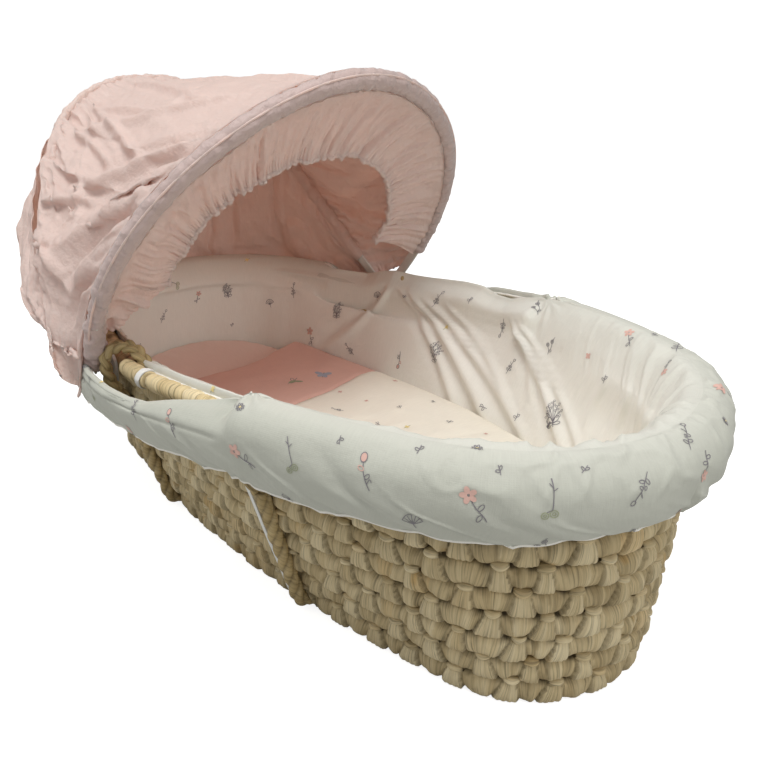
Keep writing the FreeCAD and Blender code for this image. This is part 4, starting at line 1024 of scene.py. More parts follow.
def dressing_inner(turns):
    levels = inner_levels(turns)
    last = len(levels) - 3
    place = np.concatenate([np.linspace(0, 3, WALL_ROWS, endpoint=False),
                            np.linspace(3, last, 38), np.linspace(last, last + 2, TAIL + 1)[1:]])
    points = catmull(levels, place).swapaxes(0, 1)
    turn, rise = lattice(turns, np.minimum(place, last) / last)
    normals = grid_normals(points, True)
    dist = turn * ROLL.length
    from_foot = (turn + 0.5) % 1.0 - 0.5  # signed share of the way round
    # drape folds, leaning radial folds at the foot end, soft unevenness, a looser head end
    relief = drape_folds(points) * ease(1.0, 0.62, rise)
    lean = np.sign(from_foot) * 0.03 * (1 - rise)
    coarse = (dist + lean * 1.6) / 0.021 + 0.5 * noise(rise * 3, dist / 0.06, 31)
    fine = (dist + lean) / 0.0105 + 0.4 * noise(rise * 4, dist / 0.03, 32)
    relief += (ease(0.175, 0.06, np.abs(from_foot))
               * (0.0040 * ridge(noise(coarse, rise * 1.1, 33), 2.6)
                  + 0.0017 * ridge(noise(fine, rise * 2.0, 34), 2.4))
               * ease(0.10, 0.32, rise) * ease(1.0, 0.86, rise))
    relief += 0.0013 * fractal(dist / 0.055, rise * 4, 5, 2) * ease(1.0, 0.8, rise)
    relief += (ease(0.30, 0.42, np.abs(from_foot)) * 0.0025 * noise(dist / 0.04, rise * 2, 9)
               * ease(1.0, 0.7, rise))
    for side, height in ((1, 0.0008), (-1, 0.0018)):
        relief += slit_gathers(points, side, height, phase=1.3, radius=0.014)
    # relief lifts the visible side: towards the basket's axis, and up on top of the roll
    seen = np.stack([-points[..., 0] * 0.3, -points[..., 1], np.full_like(turn, 0.05)], -1)
    facing = np.where(rise > 0.75, np.sign(normals[..., 2]), np.sign((normals * seen).sum(-1)))
    points = points + normals * (facing * relief)[..., None]
    # keep the lining inside the top row of the wall
    wall_in = row_oval(TOP_ROW).grown(-ROW_DEPTH)
    free = 0.03 * ease(0.1975, 0.2080, points[..., 2])
    limit = wall_in.side_y(points[..., 0]) - 0.0030 + free
    limit[:, -TAIL:] += 0.0024
    y = points[..., 1]
    over = (np.abs(points[..., 0]) < 0.25) & (np.abs(y) > limit)
    points[..., 1] = np.where(over, np.sign(y) * limit, y)
    x, y, nx, ny = [value[:, None] for value in wall_in.grown(-0.0030).at_turn(turns)]
    past = (points[..., 0] - x) * nx + (points[..., 1] - y) * ny - free
    past = np.maximum(past, 0) * (points[..., 2] < 0.2075)
    past[:, -TAIL:] = 0
    points[..., 0] -= past * nx
    points[..., 1] -= past * ny
    return points


def dressing_outer(turns):
    levels = outer_levels(turns)
    last = len(levels) - 1
    place = np.concatenate([np.linspace(0, 6, 36, endpoint=False), np.linspace(6, last, 40)])
    points = catmull(levels, place).swapaxes(0, 1)
    turn, down = lattice(turns, place / last)
    normals = grid_normals(points, True)
    dist = turn * ROLL.length
    from_foot = np.abs((turn + 0.5) % 1.0 - 0.5)
    # puckers growing towards the elastic hem
    relief = (0.0011 * ease(0.45, 1.0, down) * noise(dist / 0.024 + 3 * down, down * 1.5, 11)
              + 0.0006 * ease(0.45, 1.0, down) * noise(dist / 0.009, down * 3, 12)
              * ease(0.8, 1.0, down))
    # long drape lines and slanting folds
    relief += (0.0020 * fractal((dist + 0.05 * down) / 0.060, down * 2.2 - dist * 4, 13, 2)
               * ease(0.15, 0.5, down))
    relief += (0.0026 * np.abs(noise((dist - 0.11 * down) / 0.035, 0.6 * down, 14)) ** 1.5
               * ease(0.25, 0.7, down))
    relief += (0.0022 * ridge(noise((dist - 0.16 * down) / 0.030, 0.8 * down, 36), 3.0)
               * ease(0.40, 0.78, down))
    # cross wrinkles round the tight foot end
    relief += (ease(0.15, 0.04, from_foot)
               * (0.0020 * ridge(noise(dist / 0.013 + 2 * down, down * 4, 15), 2.4)
                  + 0.0012 * ridge(noise(dist / 0.024 - 2 * down, down * 3, 35), 2.4))
               * ease(0.0, 0.06, down) * ease(0.62, 0.30, down))
    for side in (1, -1):
        relief += slit_gathers(points, side, 0.0018, phase=0.4, radius=0.015)
    # stitched fold below the slit's outer edge
    opened = slit_open(points[..., 0])
    level = down * last
    relief -= 0.0016 * bell(level - 5.35, 0.16) * opened
    relief += 0.0010 * opened * ease(5.2, 4.6, level) * ease(1.0, 2.0, level)
    outward = normals[..., 0] * points[..., 0] + normals[..., 1] * points[..., 1]
    facing = np.where(down < 0.25, np.sign(normals[..., 2]), np.sign(outward))
    points = points + normals * (facing * relief)[..., None]
    points[..., 2] -= 0.0006 * noise(dist / 0.03, 0, 17) * ease(0.85, 1.0, down)
    return points


turns = np.arange(COLUMNS) / COLUMNS
lining, fall = dressing_inner(turns), dressing_outer(turns)
open_column = slit_open(ROLL.at_turn(turns)[0]) > 0.02
shut = ~open_column
LIP_ROW = -1 - TAIL
fall[shut, 0] = (fall[shut, 0] + lining[shut, LIP_ROW]) / 2
lining[shut, LIP_ROW:] = fall[shut, :1]


def cotton_dressing():
    """Lining and fall in one mesh, sharing the crest's vertices where the slits are shut."""
    verts = np.concatenate([lining.reshape(-1, 3), fall.reshape(-1, 3)])
    lining_index = np.arange(lining.size // 3).reshape(lining.shape[:2])
    fall_index = np.arange(fall.size // 3).reshape(fall.shape[:2]) + lining.size // 3
    fall_index[shut, 0] = lining_index[shut, LIP_ROW]
    run = np.arange(COLUMNS + 1) / COLUMNS * ROLL.length
    lining_v = arc_lengths(lining, 1).mean(0)
    fall_v = lining_v[-1] + arc_lengths(fall, 1).mean(0)
    rows = lining.shape[1]
    faces, corners = [], []
    for index, height, first, end, tail in (
            (lining_index, lining_v, 0, WALL_ROWS + 1, False),
            (lining_index, lining_v, WALL_ROWS, rows - TAIL, False),
            (lining_index, lining_v, rows - TAIL - 1, rows, True),
            (fall_index, fall_v, 0, len(fall_v), False)):
        cells = quads(wrap_rows(index)[:, first:end].astype(int), True)
        uv = quads(np.stack(lattice(run, height[first:end]), -1), True)
        if tail:
            keep = np.repeat(open_column & np.roll(open_column, -1), TAIL)
            cells, uv = cells[keep], uv[keep]
        faces.append(cells)
        corners.append(uv)
    faces = np.concatenate(faces)
    used, compact = np.unique(faces, return_inverse=True)
    obj = build_mesh("cotton_dressing", verts[used], compact.reshape(faces.shape), COTTON,
                     {"UVMap": np.concatenate(corners)})
    solid = obj.modifiers.new("cloth", "SOLIDIFY")
    solid.thickness = 0.0013
    solid.offset = -1
    for node in ("liner_wall", "rim_padding", "liner_skirt"):
        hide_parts(node)
    return obj


def hem_cords():
    """Elastic just inside the hem, and the folded edge of the hem."""
    path = fall[:, -3].copy()
    path[:, :2] -= path[:, :2] / np.linalg.norm(path[:, :2], axis=1, keepdims=True) * 0.0032
    path[:, 2] += 0.0015
    grid("hem_elastic_cord", tube_points(path[::3], 0.0014, 8, closed=True), TAPE,
         loop_u=True, loop_v=True, node="skirt_hem_elastic")
    grid("hem_edge_fold", tube_points(fall[::2, -1], 0.00095, 8, squash=1.6, closed=True), COTTON,
         loop_u=True, loop_v=True)


def slit_edges():
    """Narrow folded edge along the inner and outer lip of each slit."""
    for side, sign in SIDES:
        chosen = open_column & (np.sign(lining[:, 0, 1]) == sign)
        for which, cloth, row, radius in (("inner", lining, LIP_ROW, 0.0015),
                                          ("outer", fall, 3, 0.0016)):
            path = cloth[chosen, row]
            path = resample(path[np.argsort(path[:, 0])], 220)
            share = np.linspace(0, 1, len(path))
            swell = (radius * (1 + 0.18 * noise(share * 60, 0, 3))
                     * (0.5 + 0.5 * ease(0, 0.02, share) * ease(1, 0.98, share)))
            tube("slit_edge_%s_%s" % (side, which), path, swell, COTTON)


def lining_floor():
    turn, size = lattice(np.arange(160) / 160, np.linspace(0.02, 1, 12))
    x, y, _, _ = Oval(0.3540, 0.1212, 0.0925).at_turn(turn)
    points = np.stack([x * size, y * size, 0.0352 + 0 * x], -1)
    grid("liner_floor_cloth", points, COTTON, loop_u=True, thick=0.0012, flip=True,
         node="liner_floor")


dressing = cotton_dressing()
hem_cords()
slit_edges()
lining_floor()

# ------------------------------------------------------------------ bedding
PAD_HALF_L, PAD_HALF_W = half_size("mattress")[:2]
PAD_Z0 = box("mattress")[0][2]
PAD_Z1 = box("mattress")[1][2] + 0.0090
PAD_MID = (PAD_Z0 + PAD_Z1) / 2
SHEET_Z = box("fitted_sheet")[1][2] + 0.0108
# outlines from the bottom up: half length and half width against the mattress, end radius,
# z, and a scale that closes the panels
MATTRESS_LEVELS = [
    (-0.004, -0.019, 0.088, PAD_Z0 + 0.0005, 0.02), (-0.004, -0.019, 0.088, PAD_Z0, 0.6),
    (-0.006, -0.021, 0.086, PAD_Z0, 1.0), (-0.003, -0.016, 0.091, PAD_Z0 + 0.006, 1.0),
    (-0.001, -0.008, 0.098, PAD_MID, 1.0), (-0.0015, -0.001, 0.104, PAD_Z1 - 0.007, 1.0),
    (-0.006, -0.006, 0.099, PAD_Z1 - 0.0005, 1.0), (0, 0, 0.105, PAD_Z1, 0.6),
    (0, 0, 0.105, PAD_Z1, 0.02)]
SHEET_LEVELS = [
    (-0.002, -0.0145, 0.0905, PAD_Z0 + 0.004, 1.0), (0.0005, -0.0065, 0.0985, PAD_MID, 1.0),
    (0.0005, 0.0008, 0.1055, PAD_Z1 - 0.008, 1.0), (-0.003, -0.003, 0.102, PAD_Z1 - 0.0006, 1.0),
    (-0.012, -0.010, 0.095, SHEET_Z - 0.0004, 1.0), (0, 0, 0.105, SHEET_Z, 0.75),
    (0, 0, 0.105, SHEET_Z, 0.4), (0, 0, 0.105, SHEET_Z, 0.02)]


def cushion(levels, columns, puff, seed=0):
    """Lattice of a soft slab from a stack of ovals."""
    turn = np.arange(columns) / columns
    lines = []
    for longer, wider, end_r, z, size in levels:
        oval = Oval(PAD_HALF_L + longer, PAD_HALF_W + wider, end_r)
        lines.append(oval_line(oval, turn, z) * np.array([size, size, 1]))
    last = len(lines) - 1
    points = catmull(np.array(lines), np.linspace(0, last, last * 5 + 1)).swapaxes(0, 1)
    x, y, z = np.moveaxis(points, -1, 0)
    height = ease(0.0, 1.0, (z - z.min()) / np.ptp(z))
    points[..., 2] += puff * fractal(x / 0.07, y / 0.06, seed, 2) * height ** 3
    return points


def mattress_and_sheet():
    grid("mattress_pad", cushion(MATTRESS_LEVELS, 360, puff=0.0008), TICKING, loop_u=True,
         flip=True, node="mattress")
    points = cushion(SHEET_LEVELS, 420, puff=0.0012, seed=4)
    x, y, z = np.moveaxis(points, -1, 0)
    # soft creases on top
    angle = np.arctan2(y, x + 0.25)
    points[..., 2] += 0.0008 * noise(angle * 12, x * 9, 6) * ease(PAD_Z1 - 0.01, PAD_Z1, z)
    grid("fitted_sheet_cloth", points, SHEET, loop_u=True, flip=True, thick=0.0009,
         node="fitted_sheet")


cover_low, cover_high = box("coverlet")
SEAM_X = cover_low[0]
COVER_Z = SHEET_Z + 0.0004
COVER_OVAL = Oval(cover_high[0] + 0.0004, (cover_high[1] - cover_low[1]) / 2 + 0.0055, 0.114)


def coverlet_slab(name, node, mat, x0, x1, rows, thickness, is_band):
    """Quilted slab; its outer end is rounded and the other meets the slanting seam."""
    share = np.linspace(0, 1, rows)
    if not is_band:
        share = 1 - (1 - share) ** 1.25
    along, across = lattice(x0 + (x1 - x0) * share, np.linspace(-1, 1, 130))
    limit = COVER_OVAL.half_l - 0.0005
    y = across * (COVER_OVAL.half_width(np.clip(along, -limit, limit)) - 0.0004)
    x = along
    seam_shift = 0.020 - 0.19 * y + 0.003 * np.sin(y * 40)
    if is_band:
        x = x + ease(x1, x0, along) * (0.022 - 0.046 * np.clip(y / 0.13, 0, 1) ** 1.4
                                       - 0.012 * np.clip(-y / 0.13, 0, 1))
        x = x + seam_shift * ease(SEAM_X - 0.09, SEAM_X, along)
        end = 1 - ease(0.010, 0.0, along - x0) ** 2
        seam_x = x1
    else:
        x = x + seam_shift * ease(SEAM_X + 0.11, SEAM_X, along)
        end = 1 - ease(0.012, 0.0, x1 - along) ** 2
        seam_x = x0
    edge = 1 - np.abs(across) ** 14
    height = thickness * np.sqrt(np.clip(edge, 0, 1)) * np.sqrt(np.clip(end, 0, 1))
    crown = (0.0050 * (1 - (y / 0.15) ** 2)
             + 0.0020 * fractal(x / 0.060 + y * 5, y / 0.075, 3, 3)
             + 0.0010 * np.abs(noise(x / 0.020 - y * 12, y / 0.09, 6)) ** 1.5)
    top = COVER_Z + np.maximum(height, 0.0009) + crown * np.clip(edge * end, 0, 1)
    top = top - 0.0016 * bell(along - seam_x, 0.004)
    verts = [np.stack([x, y, z], -1).reshape(-1, 3) for z in (top, COVER_Z + 0 * top)]
    index = np.arange(x.size).reshape(x.shape)
    uv = np.stack([x, y], -1)
    faces = [quads(index), quads(index + x.size, True)]
    corners = [quads(uv), quads(uv, True)]
    for side, turned in ((np.s_[:, 0], False), (np.s_[:, -1], True), (np.s_[0], True),
                         (np.s_[-1], False)):
        faces.append(quads(np.stack([index[side], index[side] + x.size]), turned))
        corners.append(quads(np.stack([uv[side], uv[side]]), turned))
    return build_mesh(name, np.concatenate(verts), np.concatenate(faces), mat,
                      {"UVMap": np.concatenate(corners)}, node=node)


mattress_and_sheet()
coverlet = coverlet_slab("coverlet_cloth", "coverlet", CREAM, SEAM_X, cover_high[0] - 0.002,
                         rows=190, thickness=0.0150, is_band=False)
cover_band = coverlet_slab("coverlet_band_cloth", "coverlet_band", BAND,
                           box("coverlet_band")[0][0] + 0.002, SEAM_X - 0.0004,
                           rows=80, thickness=0.0138, is_band=True)

# ------------------------------------------------------------------ the hood's hoops
# hoop curves are (y, h) in the hoop's own plane, h from the pivot
FRONT_HALF_W, FRONT_TOP = 0.2229, 0.3437
FRONT_SIDE_R, FRONT_TOP_R = 0.2607, 0.1633
FRONT_BEND_Y, FRONT_BEND_R = 0.241, 0.030         # centre and radius of the bend at the foot
REAR_HALF_W, REAR_TOP = 0.2035, 0.3688
REAR_TOP_R, REAR_BEND_R, REAR_BEND_H = 0.166, 0.060, 0.006
ELASTIC_R, ELASTIC_TOP, ELASTIC_LOW = 0.1445, 0.2497, 0.098   # inner edge of the frill
HOOP_FOOT = -0.009


def arc_points(centre_y, centre_h, radius, start, end, count):
    angle = np.linspace(start, end, count)
    return np.stack([centre_y + radius * np.cos(angle), centre_h + radius * np.sin(angle)], -1)


def over_top(near, far, count):
    """Whole curve from the near foot to the far foot; both halves are given at +y."""
    return resample(np.vstack([near * np.array([-1, 1]), far[::-1][1:]]), count)


def front_half(off, low):
    """Half of the front hoop's curve offset outwards, from height low to the top."""
    side_y, top_h = FRONT_HALF_W - FRONT_SIDE_R, FRONT_TOP - FRONT_TOP_R
    side_h = top_h - math.sqrt((FRONT_SIDE_R - FRONT_TOP_R) ** 2 - side_y ** 2)
    join_angle = math.atan2(top_h - side_h, -side_y)
    bend_h = side_h - math.sqrt((FRONT_SIDE_R + FRONT_BEND_R) ** 2 - (FRONT_BEND_Y - side_y) ** 2)
    bend_angle = math.atan2(bend_h - side_h, FRONT_BEND_Y - side_y)
    radius = FRONT_SIDE_R + off
    parts = []
    if low < side_h + radius * math.sin(bend_angle):
        start = bend_angle
        bend_r = FRONT_BEND_R - off
        if low < bend_h:
            rise = np.linspace(low, bend_h, 6, endpoint=False)
            parts.append(np.stack([np.full(6, FRONT_BEND_Y - bend_r), rise], -1))
        bend = arc_points(FRONT_BEND_Y, bend_h, -bend_r, 0, bend_angle, 12)
        parts.append(bend[bend[:, 1] >= low])
    else:
        start = math.asin((low - side_h) / radius)
    parts.append(arc_points(side_y, side_h, radius, start, join_angle, 60))
    join_y, join_h = parts[-1][-1]
    top_angle = math.atan2(join_h - top_h, join_y)
    parts.append(arc_points(0, top_h, FRONT_TOP_R + off, top_angle, math.pi / 2, 60)[1:])
    return np.vstack(parts)


def front_curve(off, near_low, count, far_low):
    return over_top(front_half(off, near_low), front_half(off, far_low), count)


def rear_curve(off, low, count):
    """Straight sides tangent to the foot bend and the top arc."""
    top_h, bend_y = REAR_TOP - REAR_TOP_R, REAR_HALF_W - REAR_BEND_R
    rise = top_h - REAR_BEND_H
    angle = (math.atan2(rise, -bend_y)
             - math.acos((REAR_BEND_R - REAR_TOP_R) / math.hypot(bend_y, rise)))
    cos, sin = math.cos(angle), math.sin(angle)
    foot_y, foot_h = bend_y + (REAR_BEND_R + off) * cos, REAR_BEND_H + (REAR_BEND_R + off) * sin
    top_r = REAR_TOP_R + off
    head_y, head_h = top_r * cos, top_h + top_r * sin
    start_y = foot_y + (low - foot_h) / (head_h - foot_h) * (head_y - foot_y)
    side = np.linspace((start_y, low), (head_y, head_h), 40)
    start = math.atan2(head_h - top_h, head_y)
    half = np.vstack([side, arc_points(0, top_h, top_r, start, math.pi / 2, 80)[1:]])
    return over_top(half, half, count)


def place(curve, tilt, forward=0.0):
    """From a hoop's plane to the basket's frame; forward is out of the plane, towards +X."""
    y, height = curve[..., 0], curve[..., 1]
    x = forward * np.cos(tilt) + height * np.sin(tilt)
    z = -forward * np.sin(tilt) + height * np.cos(tilt)
    return np.stack([PIVOT[0] + x, PIVOT[1] + y, PIVOT[2] + z], -1)


def hoop_frame(path, tilt):
    """The hoop plane's normal, and the outward direction in the plane along a path."""
    normal = np.array([math.cos(tilt), 0, -math.sin(tilt)])
    outward = np.cross(normal, frames_along(path)[0])
    return normal, outward / np.linalg.norm(outward, axis=1, keepdims=True)


def hoop_strip(node, curve, tilt):
    """Flat plastic strip with softened edges."""
    path = place(curve, tilt)
    normal, outward = hoop_frame(path, tilt)
    half_width, half_thick, radius = 0.0060, 0.00125, 0.0009
    run, rise = half_width - radius, half_thick - radius * 0.9
    section = []
    for x, y, start in ((run, rise, 0), (-run, rise, 90), (-run, -rise, 180), (run, -rise, 270)):
        for k in range(4):
            angle = math.radians(start + k * 30)
            section.append((x + radius * math.cos(angle), y + radius * 0.9 * math.sin(angle)))
    section = np.array(section)
    points = path[:, None] + normal * section[None, :, :1] - outward[:, None] * section[None, :, 1:]
    grid(node + "_strip", end_rings(points, 0.02), HOOP_PLASTIC, loop_v=True, body=node, node=node)


def rear_hoop_curve():
    foot = np.array([[-REAR_HALF_W, HOOP_FOOT], [-REAR_HALF_W, 0.0], [-0.2034, 0.006]])
    return resample(np.vstack([foot, rear_curve(0.0, 0.012, 240),
                               foot[::-1] * np.array([-1, 1])]), 260)


def hoop_clip(side, sign):
    """Plate with a rounded top, and a rivet through both hoops."""
    node = "hood_clip_" + side
    plate_in, plate_out, sides = 0.1912, 0.1948, 28
    outline = [(-0.013, -0.020), (0.013, -0.020)]
    outline += [(0.0132 * math.cos(angle), -0.0023 + 0.0132 * math.sin(angle))
                for angle in np.linspace(0.17, math.pi - 0.17, 20)]
    # rivet from its root to its domed head: (radius, y)
    profile = [(0.0, plate_in), (0.003, plate_in), (0.003, 0.2128), (0.0050, 0.2128),
               (0.0050, 0.2134), (0.0044, 0.2140), (0.0030, 0.2144), (0.0, 0.2145)]
    mesh = bpy.data.meshes.new(node)
    shape = bmesh.new()

    def vert(x, y, z):
        return shape.verts.new((PIVOT[0] + x, sign * y, PIVOT[2] + z))

    def face(verts):
        shape.faces.new(verts if sign < 0 else verts[::-1])

    inner = [vert(x, plate_in, z) for x, z in outline]
    outer = [vert(x, plate_out, z) for x, z in outline]
    face(inner[::-1])
    face(outer)
    for i in range(len(outline)):
        j = (i + 1) % len(outline)
        face([inner[i], inner[j], outer[j], outer[i]])
    rings = []
    for radius, y in profile:
        if radius == 0:
            rings.append([vert(0, y, 0)])
        else:
            rings.append([vert(radius * math.cos(angle), y, radius * math.sin(angle))
                          for angle in circle(sides)])
    for first, second in zip(rings[:-1], rings[1:]):
        for i in range(sides):
            j = (i + 1) % sides
            if len(first) == 1:
                face([first[0], second[i], second[j]])
            elif len(second) == 1:
                face([first[i], second[0], first[j]])
            else:
                face([first[i], second[i], second[j], first[j]])
    bmesh.ops.recalc_face_normals(shape, faces=shape.faces)
    shape.to_mesh(mesh)
    shape.free()
    obj = bpy.data.objects.new("hoop_clip_" + side, mesh)
    bpy.context.scene.collection.objects.link(obj)
    mesh.materials.append(CLIP_PLASTIC)
    bevel = obj.modifiers.new("edge", "BEVEL")
    bevel.width = 0.0005
    bevel.segments = 2
    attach(obj, "basket")
    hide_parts(node)


hoop_strip("front_hoop", front_curve(0.0, HOOP_FOOT, 260, HOOP_FOOT), FRONT_TILT)
hoop_strip("rear_hoop", rear_hoop_curve(), REAR_TILT)
for side, sign in SIDES:
    hoop_clip(side, sign)


# ------------------------------------------------------------------ binding, frill and sleeve
def hoop_binding():
    """Padded binding on the front hoop: wrinkled crosswise, bunched towards its feet."""
    count, sides = 620, 26
    cord_angle, seam_angle = 1.05, TAU - 1.25
    path = place(front_curve(0.0, -0.006, count, 0.070), FRONT_TILT)
    normal, outward = hoop_frame(path, FRONT_TILT)
    run = arc_lengths(path, 0)
    length = run[-1]
    dist, angle = lattice(run, circle(sides))
    bunch = np.maximum(ease(0.20, 0.03, dist), 0.8 * ease(length - 0.10, length - 0.01, dist))
    wrinkles = (
        (0.0006 + 0.0026 * bunch) * noise(dist / (0.011 - 0.004 * bunch)
                                          + 0.9 * np.sin(angle + dist * 20),
                                          np.cos(angle) * 1.2, 5)
        + (0.0007 + 0.0012 * bunch) * noise(dist / 0.0055 + 0.5 * angle, np.sin(angle) * 2, 6)
        - (0.0009 + 0.0016 * bunch) * ridge(noise(dist / 0.013 + 0.45 * np.cos(angle), 2.0, 27),
                                            6.0))
    radius = 0.0098 * (1 - 0.12 * bunch + 0.52 * ease(0.075, 0.0, dist)) + wrinkles
    radius = (radius * ease(-0.002, 0.012, dist) ** 0.5
              * ease(length + 0.002, length - 0.010, dist) ** 0.5)
    for groove in (cord_angle, seam_angle):
        radius = radius - 0.0011 * bell(angle - groove, 0.10)
    spokes = normal * np.cos(angle)[..., None] + outward[:, None] * np.sin(angle)[..., None]
    uv = lattice(run, np.linspace(0, 0.062, sides + 1))
    grid("hoop_binding_cloth", path[:, None] + spokes * radius[..., None], BINDING, loop_v=True,
         uv=uv, body="front_hoop", node="hoop_binding")
    # cords along the two seams
    inside = (run > 0.03) & (run < length - 0.02)
    for name, at, reach, thickness, node in (
            ("binding_cord", cord_angle, 0.0092, 0.0011, "binding_piping"),
            ("binding_seam", seam_angle, 0.0090, 0.0024, None)):
        cord = path + (normal * math.cos(at) + outward * math.sin(at)) * reach
        tube(name, resample(cord[inside], 420), thickness, PINK, body="front_hoop", node=node)


def frill():
    """Gathered from the binding to its elastic edge."""
    rows, cols, pleats = 760, 40, 62
    lead_end = 0.085  # share of the run over which the near end comes in from the foot
    share = np.linspace(0, 1, rows)
    outer = front_curve(-0.0085, 0.045, rows, 0.072)
    centre_h = ELASTIC_TOP - ELASTIC_R
    start = math.asin((ELASTIC_LOW - centre_h) / ELASTIC_R)
    half = arc_points(0, centre_h, ELASTIC_R, start, math.pi / 2, 80)
    inner = over_top(half, half, rows)
    moved = np.clip((share - lead_end) / (0.975 - lead_end), 0, 1)
    inner = np.stack([np.interp(moved, share, column) for column in inner.T], 1)
    lead = np.clip(1 - share / lead_end, 0, 1)[:, None]
    inner = mix(inner, np.array([-0.2125, 0.030]), lead)
    run, inward = lattice(share, np.linspace(0, 1, cols))
    curve = mix(outer[:, None], inner[:, None], inward[..., None])
    phase = (run * pleats * TAU + 4.4 * noise(run * 22, inward * 0.7, 3)
             + 1.2 * noise(run * 55, inward * 1.1, 13))
    height = (mix(0.0015, 0.0034, ease(0.45, 1.0, inward)) * (0.75 + 0.6 * noise(run * 31, 0, 4))
              * (0.45 + 0.55 * ease(0.10, 0.30, run)))
    forward = 0.55 * height * np.sin(phase) + 0.0014 * fractal(run * 26, inward * 1.2, 6, 2)
    # pleat crests, coarse and fine, and the elastic's own tight gathers
    forward += (0.0052 * (ridge(noise(run * 46 + 0.6 * inward, inward * 0.7, 24), 3.0) - 0.3)
                * ease(0.02, 0.30, inward))
    forward += (0.0024 * (ridge(noise(run * 88 - 0.5 * inward, inward * 0.9, 26), 3.0) - 0.3)
                * ease(0.02, 0.40, inward))
    forward += (0.0012 * np.sin(run * 165 * TAU + 1.5 * noise(run * 60, 0, 25))
                * ease(0.70, 1.0, inward))
    # hangs slightly back into the hood, loose at its near end
    sag = np.sin(inward * math.pi)
    forward += -0.006 * sag - 0.006 * ease(0.5, 1, inward)
    forward += (0.010 * noise(run * 13 + inward * 1.5, inward * 1.6, 23)
                * ease(0.30, 0.10, run) * ease(0.0, 0.03, run) * np.maximum(sag, 0) ** 0.7)
    forward += 0.005 * (1 - inward) ** 3
    points = place(curve, FRONT_TILT, forward)
    grid("frill_cloth", points, PINK, thick=0.0010, body="front_hoop", node="frill")
    path = points[share > lead_end, -1]
    share = np.linspace(0, 1, len(path))
    radius = (0.0019 + 0.0010 * np.abs(np.sin(share * pleats * 2.9 * math.pi)) ** 0.7
              + 0.0005 * noise(share * 130, 0, 2))
    tube("frill_elastic_channel", path, radius, PINK, body="front_hoop", node="frill_elastic")


def rear_sleeve():
    """Gathered sleeve on the rear hoop."""
    path = place(rear_curve(0.0, 0.055, 520), REAR_TILT)
    normal, outward = hoop_frame(path, REAR_TILT)
    dist, angle = lattice(arc_lengths(path, 0), circle(22))
    wrinkles = (0.0016 * noise(dist / 0.0065, np.sin(angle) * 1.3, 8)
                + 0.0008 * noise(dist / 0.003, np.cos(angle) * 2, 9))
    wide = np.cos(angle) * np.maximum(0.0086 + wrinkles, 0.0074)
    thick = np.sin(angle) * np.maximum(0.0056 + wrinkles * 0.8, 0.0040)
    points = path[:, None] + normal * wide[..., None] + outward[:, None] * thick[..., None]
    grid("rear_hoop_sleeve_cloth", end_rings(points, 0.4), PINK, loop_v=True, body="rear_hoop",
         node="rear_hoop_sleeve")


hoop_binding()
frill()
rear_sleeve()


# ------------------------------------------------------------------ canopy and rear apron
def settle(points, name, shrink, frames, gravity, cap, stiff, bend):
    """The lattice after a short cloth simulation, pinned at its edges, moved by at most cap."""
    pin = np.zeros(points.shape[:2])
    pin[:, 0] = pin[:, -1] = 1
    pin[0, :] = pin[-1, :] = 0.7
    index = np.arange(pin.size).reshape(pin.shape)
    obj = build_mesh(name, points.reshape(-1, 3), quads(index), body=None)
    group = obj.vertex_groups.new(name="pin")
    for i, weight in enumerate(pin.reshape(-1)):
        if weight > 0:
            group.add([i], float(weight), "REPLACE")
    cloth = obj.modifiers.new("Cloth", "CLOTH")
    settings = cloth.settings
    settings.quality = 6
    settings.mass = 0.12
    settings.tension_stiffness = stiff
    settings.compression_stiffness = stiff
    settings.shear_stiffness = stiff * 0.5
    settings.bending_stiffness = bend
    settings.tension_damping = 8
    settings.compression_damping = 8
    settings.air_damping = 3.0
    settings.shrink_min = shrink
    settings.vertex_group_mass = "pin"
    settings.effector_weights.gravity = gravity
    cloth.point_cache.frame_start = 1
    cloth.point_cache.frame_end = frames
    scene = bpy.context.scene
    for k in range(1, frames + 1):
        scene.frame_set(k)
    settled = obj.evaluated_get(bpy.context.evaluated_depsgraph_get())
    places = np.zeros(points.size)
    settled.data.vertices.foreach_get("co", places)
    scene.frame_set(1)
    bpy.data.objects.remove(obj)
    move = places.reshape(points.shape) - points
    length = np.linalg.norm(move, axis=-1, keepdims=True)
    return points + move * np.minimum(1.0, cap / np.maximum(length, 1e-9))


def upsample(points):
    """Smooth threefold refinement in both directions."""
    for _ in range(2):
        last = len(points) - 1
        points = catmull(points, np.linspace(0, last, last * 3 + 1)).swapaxes(0, 1)
    return points


def creases(run, down, layers, warp, sharp, low):
    """Sum of crease fields: (scale along, scale down, rotation, height, seed)."""
    total = 0
    for along, across, rotation, height, seed in layers:
        cos, sin = math.cos(rotation), math.sin(rotation)
        u, v = run * along, down * across
        field = noise(u * cos - v * sin + warp * noise(u * 0.5, v * 0.5, seed + 9),
                      u * sin + v * cos, seed)
        total = total + height * ridge(field, sharp, low)
    return total


def hang(name, points, node):
    """Cloth hung between two hoops, as a thickened mesh in world space."""
    obj = grid(name, points, PINK, thick=0.0010, body=None)
    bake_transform(obj)
    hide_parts(node)


